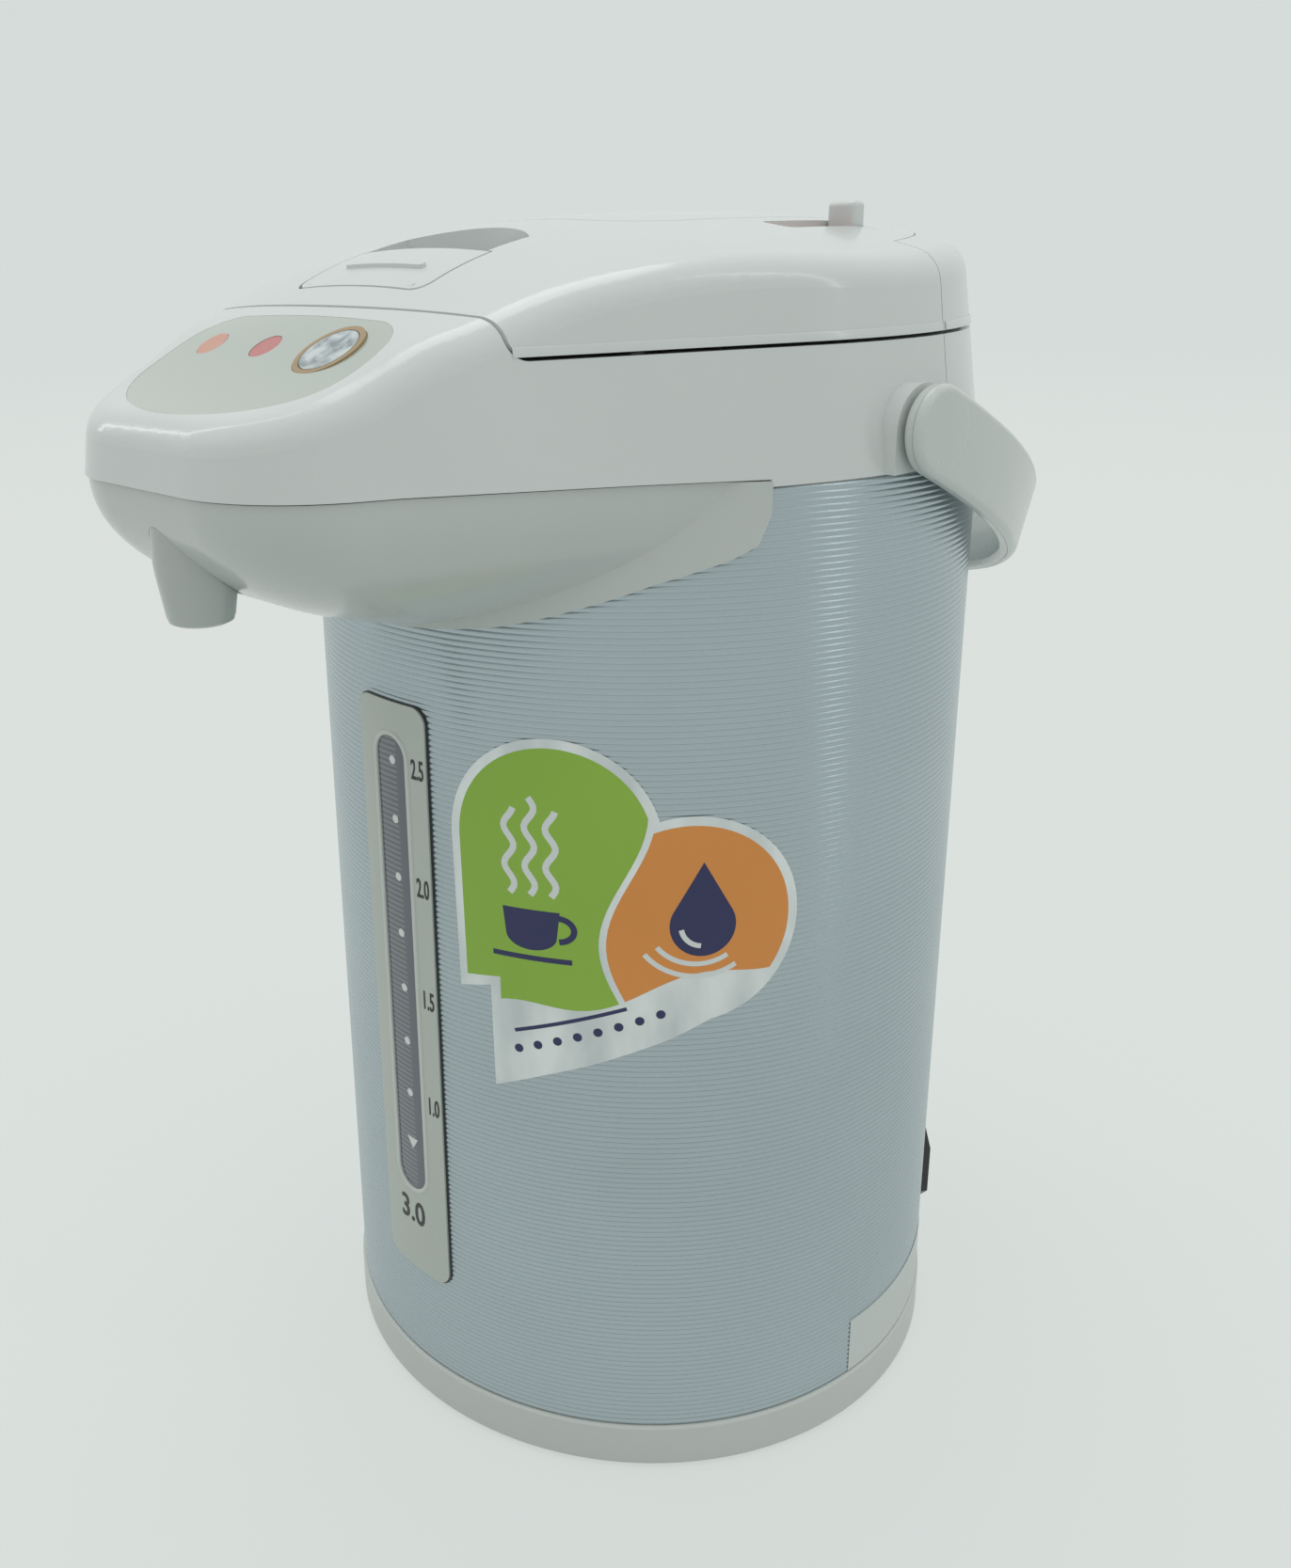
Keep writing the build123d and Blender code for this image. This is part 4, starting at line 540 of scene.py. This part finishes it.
def slot_path(grow):
    """Stadium outline of the window slot, larger by grow."""
    reach = SLOT_HALF_W + grow
    out = []
    for level, start in ((SLOT_HIGH - SLOT_HALF_W, 0), (SLOT_LOW + SLOT_HALF_W, 180)):
        out += arc_points(0, level, reach, reach, start, start + 180, SLOT_STEPS)
    return out


def gauge_rim():
    """Raised pale rim round the window slot."""
    points = []
    for grow, rise in RIM_SECTION:
        points += [round_body(x, z, PLATE_FACE_R + rise) for x, z in slot_path(grow)]
    rows = len(RIM_SECTION)
    mesh = solid_from("gauge_rim", points, ring_faces(rows, len(points) // rows, closed=True))
    new_piece("gauge_rim", mesh, INK["pale"], "pot")


def plate_digits(name, text, height, x, z, narrow):
    """Digits printed on the gauge plate, centred on (x, z)."""
    data = bpy.data.curves.new(name, "FONT")
    data.body = text
    data.size = 1.0
    data.align_x, data.align_y = "CENTER", "CENTER"
    data.extrude = 0.5
    data.offset = INK_WEIGHT
    data.resolution_u = 3
    holder = bpy.data.objects.new(name, data)
    bpy.context.scene.collection.objects.link(holder)
    bpy.context.view_layer.update()
    shown = holder.evaluated_get(bpy.context.evaluated_depsgraph_get())
    mesh = bpy.data.meshes.new_from_object(shown)
    bpy.data.objects.remove(holder)
    low, high = min(v.co.y for v in mesh.vertices), max(v.co.y for v in mesh.vertices)
    grow, middle = height / (high - low), (high + low) / 2
    for vert in mesh.vertices:
        radius = PLATE_FACE_R + (INK_RISE if vert.co.z > 0 else -INK_SINK)
        place = round_body(x + vert.co.x * grow * narrow, z + (vert.co.y - middle) * grow, radius)
        vert.co = Vector(place) * MM
    mesh.materials.clear()
    new_piece(name, mesh, INK["dark_print_and_shadow"], "pot", smooth=False)


def gauge_marks():
    for i in range(MARK_COUNT):
        dot = circle(MARK_X, MARK_TOP_Z - i * MARK_PITCH, MARK_R, 24)
        wrapped_patch(f"gauge_dot_{i + 1}", [dot], *WINDOW_INK_R, INK["white"], "pot")
    wrapped_patch("gauge_low_mark", [LOW_MARK], *WINDOW_INK_R, INK["white"], "pot")
    for i, digits in enumerate(NUMBERS):
        name = "gauge_number_" + digits.replace(".", "_")
        z = MARK_TOP_Z - 2 * i * MARK_PITCH - NUMBER_DROP
        plate_digits(name, digits, NUMBER_H, NUMBER_X, z, NUMBER_NARROW)
    plate_digits("gauge_capacity", "3.0", CAPACITY_H, CAPACITY_X, CAPACITY_Z, CAPACITY_NARROW)
    # A dark strip round the plate: painted shadow of the gap under the plate's edge.
    low, high = GAUGE_LOW - SHADOW_STRIP_W, GAUGE_HIGH + SHADOW_STRIP_W
    shadow_strip = rounded_box(GAUGE_HALF_W + SHADOW_STRIP_W, low, high, GAUGE_CORNER)
    shadow_strip_r = (SLEEVE_R - RIB_DEPTH, SLEEVE_R + SHADOW_STRIP_RISE)
    wrapped_patch("gauge_painted_shadow", [shadow_strip], *shadow_strip_r, INK["dark_print_and_shadow"], "pot")


# ---------------------------------------------------------------- sticker
FOIL_R = (90.02, 90.14)
FIELD_R = (90.08, 90.17)
MOTIF_R = (90.12, 90.20)
SHINE_R = (90.12, 90.23)
DISC_SPOTS = 72
STICKER_EDGE = 2.4
GREEN_DISC = (47.5, 186.0, 27.3)
ORANGE_DISC = (81.5, 167.2, 27.4)
STICKER_FOOT = [(20.2, 186.0), (21.3, 143.2), (30.4, 145.4), (31.0, 116.6), (44.6, 122.3),
                (57.6, 127.2), (77.1, 135.2), (93.1, 143.5), (94.9, 168.0), (47.5, 190.0)]
PRINT_FOOT = [(22.6, 186.0), (23.5, 147.0), (33.2, 148.4), (33.6, 121.0), (44.2, 125.4),
              (57.0, 130.2), (76.5, 138.2), (91.5, 146.4), (93.0, 168.0), (47.5, 188.0)]
STICKER_LOW, STICKER_HIGH = 110.0, 220.0        # a frame that holds the whole sticker
STICKER_LEFT, STICKER_RIGHT = 10.0, 120.0
FIELD_GAP = 1.8
FIELD_STEPS = 40
DIVIDE_X, DIVIDE_SWING, DIVIDE_MIDDLE, DIVIDE_WAVE = 66.0, 6.0, 178.0, 70.0
FOOT_X, FOOT_Z, FOOT_SLOPE = 30.0, 139.0, 0.22
FOOT_SWING, FOOT_START, FOOT_WAVE = 2.5, 22.0, 48.0
CURVE_STEPS = 14
MUG_X, MUG_Z, MUG_W, MUG_H = 42.0, 163.0, 15.0, 11.0
MUG_ROUND, MUG_TAPER = 4.0, 0.8                 # height of its round bottom, narrowing there
EAR_IN, EAR_LIFT, EAR_REACH, EAR_RISE, EAR_W = 0.6, 0.8, 4.2, 3.2, 1.6
SAUCER_HALF_W, SAUCER_DROP, SAUCER_W = 10.5, 2.2, 1.4
STEAM_LOW, STEAM_HIGH, STEAM_W = 172.5, 198.0, 1.7
STEAM_GAP, STEAM_SHORTER = 5.4, 3.0             # between the curls; the outer ones end sooner
STEAM_SWAY, STEAM_TURN, STEAM_STEPS = 1.3, 0.62, 24
DROP_X, DROP_Z, DROP_R, DROP_TIP = 84.5, 166.0, 8.2, 8.5
DROP_ARC, DROP_STEPS = (155, 385), 30           # where its round part starts and ends, in degrees
THIN_LINE = 1.3
SHINE_IN, SHINE_ARC, SHINE_STEPS = 2.8, (190, 265), 12
WAVE_REACHES, WAVE_FLAT, WAVE_ARC, WAVE_STEPS = (12.5, 16.2), 0.9, (215, 305), 20
WAVE_SHIFT = 1.0                                # their centre from the drop's, left and up
DOT_X, DOT_Z, DOT_R, DOT_GAP, DOT_SLOPE = 38.0, 129.0, 1.2, 5.2, 0.36
DOT_COUNT, DOT_SPOTS = 8, 12
FOOT_LINE, FOOT_LINE_W = [(37.0, 134.0), (66.0, 143.57)], 1.0


def divide_x(z):
    """The S-shaped line between the green and the orange field."""
    return DIVIDE_X + DIVIDE_SWING * math.sin(2 * math.pi * (z - DIVIDE_MIDDLE) / DIVIDE_WAVE)


def divide_z(x):
    """The wave that ends both fields above the white foot."""
    wave = FOOT_SWING * math.sin(2 * math.pi * (x - FOOT_START) / FOOT_WAVE)
    return FOOT_Z + FOOT_SLOPE * (x - FOOT_X) + wave


def sticker():
    discs, print_discs = [], []
    for x, z, radius in (GREEN_DISC, ORANGE_DISC):
        discs.append(circle(x, z, radius, DISC_SPOTS))
        print_discs.append(circle(x, z, radius - STICKER_EDGE, DISC_SPOTS))
    foil = wrapped_patch("sticker_foil", discs + [STICKER_FOOT], *FOIL_R, MATERIALS["label_print"],
                         "pot", "label_print")
    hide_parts("sticker")

    left, right, half = STICKER_LEFT, STICKER_RIGHT, FIELD_GAP / 2
    above = [(x, divide_z(x)) for x in evenly(left, right, FIELD_STEPS)]
    above += [(right, STICKER_HIGH), (left, STICKER_HIGH)]

    def printed(inside):
        """In one of the print's outlines (0 to 2), over the wave (3) and on its own side (4)."""
        return inside >= {3, 4} and bool(inside & {0, 1, 2})

    for ink, way, edge in (("green", -1, left), ("orange", 1, right)):
        heights = evenly(STICKER_LOW, STICKER_HIGH, FIELD_STEPS)
        side = [(divide_x(z) + way * half, z) for z in heights]
        side += [(edge, STICKER_HIGH), (edge, STICKER_LOW)]
        shapes = print_discs + [PRINT_FOOT, above, side]
        wrapped_patch("sticker_" + ink, shapes, *FIELD_R, INK[ink], "pot", "label_print", printed)


def mug_motif():
    """A mug with steam, in the green field."""
    low, high = MUG_Z - MUG_H / 2, MUG_Z + MUG_H / 2
    cup = [(MUG_X - MUG_W / 2, high)]
    reach = MUG_W / 2 - MUG_TAPER
    cup += arc_points(MUG_X, low + MUG_ROUND, reach, MUG_ROUND, 180, 360, CURVE_STEPS)
    cup += [(MUG_X + MUG_W / 2, high)]
    ear_x, ear_z = MUG_X + MUG_W / 2 - EAR_IN, MUG_Z + EAR_LIFT
    ear = stroke(arc_points(ear_x, ear_z, EAR_REACH, EAR_RISE, -85, 85, CURVE_STEPS), EAR_W)
    under = low - SAUCER_DROP
    saucer = stroke([(MUG_X - SAUCER_HALF_W, under), (MUG_X + SAUCER_HALF_W, under)], SAUCER_W)
    wrapped_patch("sticker_mug", [cup, ear, saucer], *MOTIF_R, INK["navy"], "pot", "label_print")
    curls = []
    for k in (-1, 0, 1):
        line = []
        for z in evenly(STEAM_LOW, STEAM_HIGH - STEAM_SHORTER * abs(k), STEAM_STEPS):
            sway = STEAM_SWAY * math.sin((z - STEAM_LOW) * STEAM_TURN)
            line.append((MUG_X + STEAM_GAP * k + sway, z))
        curls.append(stroke(line, STEAM_W))
    wrapped_patch("sticker_steam", curls, *MOTIF_R, INK["white"], "pot", "label_print")


def drop_motif():
    """A water drop over rings, in the orange field, and dots and a line on the white foot."""
    drop = arc_points(DROP_X, DROP_Z, DROP_R, DROP_R, *DROP_ARC, DROP_STEPS)
    drop.append((DROP_X, DROP_Z + DROP_R + DROP_TIP))
    wrapped_patch("sticker_drop", [drop], *MOTIF_R, INK["navy"], "pot", "label_print")
    reach = DROP_R - SHINE_IN
    shine = stroke(arc_points(DROP_X, DROP_Z, reach, reach, *SHINE_ARC, SHINE_STEPS), THIN_LINE)
    wrapped_patch("sticker_shine", [shine], *SHINE_R, INK["white"], "pot", "label_print")
    rings = []
    for reach in WAVE_REACHES:
        x, z = DROP_X - WAVE_SHIFT, DROP_Z + WAVE_SHIFT
        arc = arc_points(x, z, reach, reach * WAVE_FLAT, *WAVE_ARC, WAVE_STEPS)
        rings.append(stroke(arc, THIN_LINE))
    wrapped_patch("sticker_rings", rings, *MOTIF_R, INK["white"], "pot", "label_print")
    dots = []
    for i in range(DOT_COUNT):
        x = DOT_X + DOT_GAP * i
        dots.append(circle(x, DOT_Z + DOT_SLOPE * (x - DOT_X), DOT_R, DOT_SPOTS))
    wrapped_patch("sticker_dots", dots, *MOTIF_R, INK["navy"], "pot", "label_print")
    line = stroke(FOOT_LINE, FOOT_LINE_W)
    wrapped_patch("sticker_line", [line], *MOTIF_R, INK["navy"], "pot", "label_print")


# ---------------------------------------------------------------- spout
SPOUT_Y = -140.5
NOZZLE_SECTION = ((5.3, 267.9), (9.45, 267.9), (9.45, 259.5), (9.2, 257.0), (7.7, 247.4),
                  (7.2, 246.0), (6.3, 245.5), (5.3, 245.5))         # radius and height


def turned_mesh(name, section, y=0.0, turns=72):
    """Ring with that closed section of (radius, height), turned about an upright axis."""
    points = []
    for radius, z in section:
        for j in range(turns):
            turn = 2 * math.pi * j / turns
            points.append((radius * math.cos(turn), y + radius * math.sin(turn), z))
    return solid_from(name, points, ring_faces(len(section), turns, closed=True))


def nozzle_mouth():
    """Spout mouth, straight where it fills the hole of its cover and tapered below."""
    mesh = turned_mesh("nozzle_mouth", NOZZLE_SECTION, SPOUT_Y)
    # its plastic is darkened as painted shade on the spout mouth
    piece = new_piece("nozzle_mouth", mesh, MATERIALS["nozzle_shaded_plastic"], "pot")
    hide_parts("nozzle")


# ---------------------------------------------------------------- pump
BELLOWS_R, BELLOWS_FOLD, BELLOWS_FOLDS, BELLOWS_WALL = 44.0, 6.0, 4, 1.4
BELLOWS_LOW, BELLOWS_TOP = 270.0, 298.0
SPRING_R, SPRING_WIRE_R, SPRING_PITCH = 20.0, 0.9, 6.4
SPRING_END_GAP = 0.1
SPRING_TURN_STEPS, SPRING_SIDES = 28, 10


def flattens(piece):
    """Gives the piece a mesh of its own."""
    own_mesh(piece)


def pump_bellows():
    step = (BELLOWS_TOP - BELLOWS_LOW) / (2 * BELLOWS_FOLDS)
    outside = []
    for i in range(2 * BELLOWS_FOLDS + 1):
        outside.append((BELLOWS_R if i % 2 else BELLOWS_R - BELLOWS_FOLD, BELLOWS_LOW + i * step))
    inside = [(radius - BELLOWS_WALL, z) for radius, z in reversed(outside)]
    mesh = turned_mesh("bellows_rubber", outside + inside, turns=96)
    piece = new_piece("bellows_rubber", mesh, MATERIALS["silicone"], "lid")
    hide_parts("bellows")
    flattens(piece)


def pump_spring():
    low = BELLOWS_LOW + SPRING_WIRE_R + SPRING_END_GAP
    high = BELLOWS_TOP - SPRING_WIRE_R - SPRING_END_GAP
    steps = round(SPRING_TURN_STEPS * (high - low) / SPRING_PITCH)
    points = []
    for i in range(steps + 1):
        turn = 2 * math.pi * i / SPRING_TURN_STEPS
        for j in range(SPRING_SIDES):
            tilt = 2 * math.pi * j / SPRING_SIDES
            reach = SPRING_R + SPRING_WIRE_R * math.cos(tilt)
            level = low + (high - low) * i / steps + SPRING_WIRE_R * math.sin(tilt)
            points.append((reach * math.cos(turn), reach * math.sin(turn), level))
    mesh = solid_from("spring_coil", points, tube_faces(steps + 1, SPRING_SIDES))
    piece = new_piece("spring_coil", mesh, MATERIALS["steel"], "lid")
    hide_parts("bellows_spring")
    flattens(piece)


# ---------------------------------------------------------------- handle
PIVOT_Y, PIVOT_Z = -1.5, 281.0
HANDLE_TILT = 24.0
HANDLE_PATH = [(95.3, 0.0), (94.4, 18.0), (91.6, 38.0), (85.0, 60.0), (74.0, 82.0), (56.0, 104.0),
               (32.0, 120.0), (0.0, 126.0)]
HANDLE_W = 21.0
HANDLE_SPLIT = ((-2.5, 0.35), (0.45, 2.5))      # inner moulding and outer skin, across the strap
HANDLE_EDGE_R = 1.9
CORNER_STEPS = 6
PATH_STEPS = 8
END_TURNS = 48


def handle_place(x, s, lift):
    """Point of the handle: across, along the hanging strap, and square to its plane."""
    c, n = math.cos(math.radians(HANDLE_TILT)), math.sin(math.radians(HANDLE_TILT))
    return (x, PIVOT_Y + s * c + lift * n, PIVOT_Z - s * n + lift * c)


def smooth_path(path):
    """Catmull-Rom curve through the (x, s) points, nearly along s at both ends."""
    (x0, s0), (x1, s1) = path[0], path[-1]
    knots = [(x0, s0 - (path[1][1] - s0))] + path + [(x1, s1 - (path[-2][1] - s1))]
    out = []
    for a, b, c, d in zip(knots, knots[1:], knots[2:], knots[3:]):
        for i in range(PATH_STEPS):
            t = i / PATH_STEPS
            spot = []
            for p, q, r, u in zip(a, b, c, d):
                bend = 2 * p - 5 * q + 4 * r - u + t * (3 * (q - r) + u - p)
                spot.append(q + 0.5 * t * (r - p + t * bend))
            out.append(tuple(spot))
    out.append(path[-1])
    return out


def strap_levels(low, high, round_high):
    """The strap's rounded face, its back, and the way in from that face."""
    return (high, low, -1) if round_high else (low, high, 1)


def strap_corner(face, into, centre, start):
    """Quarter round at the edge of the strap's face, as (outward, sideways)."""
    out = []
    for i in range(CORNER_STEPS + 1):
        turn = math.radians(start + 90 * i / CORNER_STEPS)
        level = face + into * HANDLE_EDGE_R * (1 - math.sin(turn))
        out.append((level, centre + HANDLE_EDGE_R * math.cos(turn)))
    return out


def strap_section(low, high, round_high):
    """Section across the strap as (outward, sideways), rounded on one face."""
    face, back, into = strap_levels(low, high, round_high)
    half = HANDLE_W / 2
    points = [(back, -half), (back, half)]
    points += strap_corner(face, into, half - HANDLE_EDGE_R, 0)
    points += strap_corner(face, into, HANDLE_EDGE_R - half, 90)
    return points


def handle_strap(name, low, high, round_high, node):
    path = smooth_path(HANDLE_PATH + [(-x, s) for x, s in reversed(HANDLE_PATH[:-1])])
    section = strap_section(low, high, round_high)
    points = []
    for i, (x, s) in enumerate(path):
        before, after = path[max(i - 1, 0)], path[min(i + 1, len(path) - 1)]
        way = Vector((after[0] - before[0], after[1] - before[1])).normalized()
        if i in (0, len(path) - 1):
            way = Vector((0, 1 if i == 0 else -1))
        for out, across in section:
            points.append(handle_place(x + way.y * out, s - way.x * out, across))
    faces = tube_faces(len(path), len(section))
    for side in (-1, 1):
        add_end(points, faces, side, low, high, round_high)
    mesh = solid_from(name, points, faces)
    piece = new_piece(name, mesh, MATERIALS["handle_plastic"], "handle")
    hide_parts(node)


def add_end(points, faces, side, low, high, round_high):
    """Round end of the strap, turned about the pivot."""
    face, back, into = strap_levels(low, high, round_high)
    middle, radius = HANDLE_PATH[0][0], HANDLE_W / 2
    profile = [(back, 0.0), (back, radius)]
    profile += strap_corner(face, into, radius - HANDLE_EDGE_R, 0)
    profile.append((face, 0.0))
    first = len(points)
    for out, reach in profile:
        for j in range(END_TURNS):
            turn = 2 * math.pi * j / END_TURNS
            y, z = PIVOT_Y + reach * math.cos(turn), PIVOT_Z + reach * math.sin(turn)
            points.append((side * (middle + out), y, z))
    faces.extend(ring_faces(len(profile), END_TURNS, first))


# ---------------------------------------------------------------- lid
HEAD_R, NOSE_R, NOSE_X, NOSE_Y = 90.0, 33.5, 17.6, -119.5
SHOULDER_Z, DRAFT = 271.4, 8.0
LID_LOW = 301.8
LIP_FRONT_Y, LIP_SEAM_Y, LIP_REAR_Y = -96.4, 15.3, 52.0
LIP_SECTION = ((0.02, 0.0), (0.30, 0.1), (0.34, 1.7), (0.24, 2.0), (0.02, 2.1))   # out and up
LIP_STATIONS = 120


def lid_wall(place, z):
    """Point and normal of the lid's side wall, at a share of the way from its front to its rear."""
    inset = (z - SHOULDER_Z) * math.tan(math.radians(DRAFT))
    reach = math.hypot(NOSE_X, NOSE_Y)
    tangent = math.atan2(NOSE_Y, NOSE_X) + math.acos((HEAD_R - NOSE_R) / reach)
    normal = Vector((math.cos(tangent), math.sin(tangent)))
    radius = HEAD_R - inset
    touch = normal * radius
    run = (touch.y - LIP_FRONT_Y) / math.cos(tangent)
    arc = radius * (math.pi / 2 - tangent)
    along = place * (run + arc)
    if along < run:
        return touch - Vector((-math.sin(tangent), math.cos(tangent))) * (run - along), normal
    turn = tangent + (along - run) / radius
    normal = Vector((math.cos(turn), math.sin(turn)))
    return normal * radius, normal


def lid_lip():
    """Fine raised edge along the bottom of the lid's side walls."""
    for name, side, front in (("lid_lip_right", 1, True), ("lid_lip_left", -1, True),
                              ("lid_lip_rear_right", 1, False), ("lid_lip_rear_left", -1, False)):
        points = []
        for place in evenly(0, 1, LIP_STATIONS):
            spot, _ = lid_wall(place, LID_LOW)
            if (spot.y < LIP_SEAM_Y) != front or spot.y > LIP_REAR_Y:
                continue
            for out, up in LIP_SECTION:
                spot, normal = lid_wall(place, LID_LOW + up)
                edge = spot + normal * out
                points.append((side * edge.x, edge.y, LID_LOW + up))
        count = len(LIP_SECTION)
        mesh = solid_from(name, points, tube_faces(len(points) // count, count))
        new_piece(name, mesh, MATERIALS["white_plastic"], "lid")


# ---------------------------------------------------------------- light and floor
BACKDROP = linear(214, 220, 217)
WORLD_LIGHT = linear(250, 253, 252)
SIDE_LIGHT, TOP_LIGHT = 0.44, 1.0        # strength of the world's light at the horizon and overhead
FLOOR = linear(228, 233, 229)
FLOOR_ROUGH = 0.9
FLOOR_BOUNCE = linear(205, 209, 206)     # the part of the floor's light that reaches the object
FLOOR_GLOW = linear(220, 225, 222)       # what the lens and reflections see of it, less its shadow
FLOOR_GLOW_SHARE = 0.74                  # beside the pot; the whole of it farther off
FLOOR_RINGS = (0.3, 0.8, 2.0, 6.0)       # metres, as are the distances below
FLOOR_AROUND = 64
GLOW_NEAR, GLOW_FAR = 0.2, 1.4           # the glow grows to the whole between them
HORIZON_NEAR, HORIZON_FAR = 0.6, 4.8     # and its colour turns to the backdrop's between these
LAMPS = (
    ("top_light", (-0.25, 0.15, 1.35), (0, 0, 0.25), (0.7, 0.7), 2.2),
    ("strip_left", (-0.75, -0.35, 0.95), (0, -0.05, 0.3), (0.05, 1.1), 0.5),
    ("strip_right", (0.85, 0.35, 0.9), (0, 0, 0.3), (0.05, 0.9), 0.4),
)                                        # name, place, aim, size and power


def pale_world():
    """The backdrop that the lens and reflections see; its light comes mostly from above."""
    world = bpy.data.worlds.new("studio")
    world.use_nodes = True
    bpy.context.scene.world = world
    tree = world.node_tree
    nodes, links = tree.nodes, tree.links
    seen = nodes["Background"]
    seen.inputs["Color"].default_value = BACKDROP
    seen.inputs["Strength"].default_value = 1.0
    light = nodes.new("ShaderNodeBackground")
    light.inputs["Color"].default_value = WORLD_LIGHT
    place = nodes.new("ShaderNodeTexCoord")
    axes = nodes.new("ShaderNodeSeparateXYZ")
    links.new(place.outputs["Generated"], axes.inputs[0])
    rise = nodes.new("ShaderNodeMapRange")
    rise.inputs["To Min"].default_value, rise.inputs["To Max"].default_value = SIDE_LIGHT, TOP_LIGHT
    links.new(axes.outputs["Z"], rise.inputs["Value"])
    links.new(rise.outputs["Result"], light.inputs["Strength"])
    mixed = mixed_shader(tree, background_ray(tree), light.outputs[0], seen.outputs[0])
    links.new(mixed, nodes["World Output"].inputs["Surface"])


def math_node(tree, operation, first, second):
    node = tree.nodes.new("ShaderNodeMath")
    node.operation = operation
    tree.links.new(first, node.inputs[0])
    tree.links.new(second, node.inputs[1])
    return node.outputs[0]


def mixed_shader(tree, factor, first, second):
    mix = tree.nodes.new("ShaderNodeMixShader")
    for i, output in enumerate((factor, first, second)):
        tree.links.new(output, mix.inputs[i])
    return mix.outputs[0]


def mixed_colour(tree, factor, first, second):
    mix = tree.nodes.new("ShaderNodeMix")
    mix.data_type = "RGBA"
    mix.inputs[MIX_A].default_value, mix.inputs[MIX_B].default_value = first, second
    tree.links.new(factor, mix.inputs["Factor"])
    return mix.outputs[MIX_OUT]


def smooth_rise(tree, distance, near, far, low=0.0):
    """Value that rises from low to 1 as the distance goes from near to far."""
    rise = tree.nodes.new("ShaderNodeMapRange")
    rise.interpolation_type = "SMOOTHSTEP"
    for socket, value in (("From Min", near), ("From Max", far), ("To Min", low)):
        rise.inputs[socket].default_value = value
    tree.links.new(distance, rise.inputs["Value"])
    return rise.outputs["Result"]


def background_ray(tree):
    """1 for rays that show the background: from the lens, and through or off a surface."""
    rays = tree.nodes.new("ShaderNodeLightPath")
    total = rays.outputs["Is Camera Ray"]
    for kind in ("Is Glossy Ray", "Is Transmission Ray"):
        total = math_node(tree, "MAXIMUM", total, rays.outputs[kind])
    return total


def floor_paint():
    """Matt floor that glows for the lens and reflections, and so fades into the backdrop."""
    paint = bpy.data.materials.new("floor")
    paint.use_nodes = True
    tree = paint.node_tree
    nodes, links = tree.nodes, tree.links
    matt = nodes["Principled BSDF"]
    matt.inputs["Roughness"].default_value = FLOOR_ROUGH
    shows = background_ray(tree)
    links.new(mixed_colour(tree, shows, FLOOR_BOUNCE, FLOOR), matt.inputs["Base Color"])
    place = nodes.new("ShaderNodeTexCoord")
    length = nodes.new("ShaderNodeVectorMath")
    length.operation = "LENGTH"
    links.new(place.outputs["Object"], length.inputs[0])
    distance = length.outputs["Value"]
    horizon = smooth_rise(tree, distance, HORIZON_NEAR, HORIZON_FAR)
    glow = nodes.new("ShaderNodeEmission")
    links.new(mixed_colour(tree, horizon, FLOOR_GLOW, BACKDROP), glow.inputs["Color"])
    share = smooth_rise(tree, distance, GLOW_NEAR, GLOW_FAR, FLOOR_GLOW_SHARE)
    seen_share = math_node(tree, "MULTIPLY", share, shows)
    mixed = mixed_shader(tree, seen_share, matt.outputs[0], glow.outputs[0])
    links.new(mixed, nodes["Material Output"].inputs["Surface"])
    return paint


def floor():
    """Round pale floor that fades into the backdrop's colour far from the pot."""
    points = [(0, 0, 0)]
    for reach in FLOOR_RINGS:
        for j in range(FLOOR_AROUND):
            turn = 2 * math.pi * j / FLOOR_AROUND
            points.append((reach * math.cos(turn), reach * math.sin(turn), 0))
    faces = [(0, 1 + j, 1 + (j + 1) % FLOOR_AROUND) for j in range(FLOOR_AROUND)]
    for a, a2, b2, b in ring_faces(len(FLOOR_RINGS), FLOOR_AROUND, first=1):
        faces.append((a, b, b2, a2))    # turned over, to look up
    mesh = bpy.data.meshes.new("floor")
    mesh.from_pydata(points, [], faces)
    mesh.materials.append(floor_paint())
    ground = bpy.data.objects.new("floor", mesh)
    bpy.context.scene.collection.objects.link(ground)


def softbox(name, place, aim, size, power):
    data = bpy.data.lights.new(name, "AREA")
    data.shape = "RECTANGLE"
    data.size, data.size_y = size
    data.energy = power
    lamp = bpy.data.objects.new(name, data)
    lamp.location = place
    lamp.rotation_mode = "QUATERNION"
    lamp.rotation_quaternion = (Vector(aim) - Vector(place)).to_track_quat("-Z", "Y")
    bpy.context.scene.collection.objects.link(lamp)


bpy.context.scene.view_settings.view_transform = "Standard"
make_camera()
pale_world()
floor()
for lamp_values in LAMPS:
    softbox(*lamp_values)
dress_nodes()
ribbed_sleeve()
gauge_rim()
gauge_marks()
sticker()
mug_motif()
drop_motif()
handle_strap("handle_inner", *HANDLE_SPLIT[0], False, "handle_bail")
handle_strap("handle_outer", *HANDLE_SPLIT[1], True, "handle_cover")
lid_lip()
nozzle_mouth()
pump_bellows()
pump_spring()
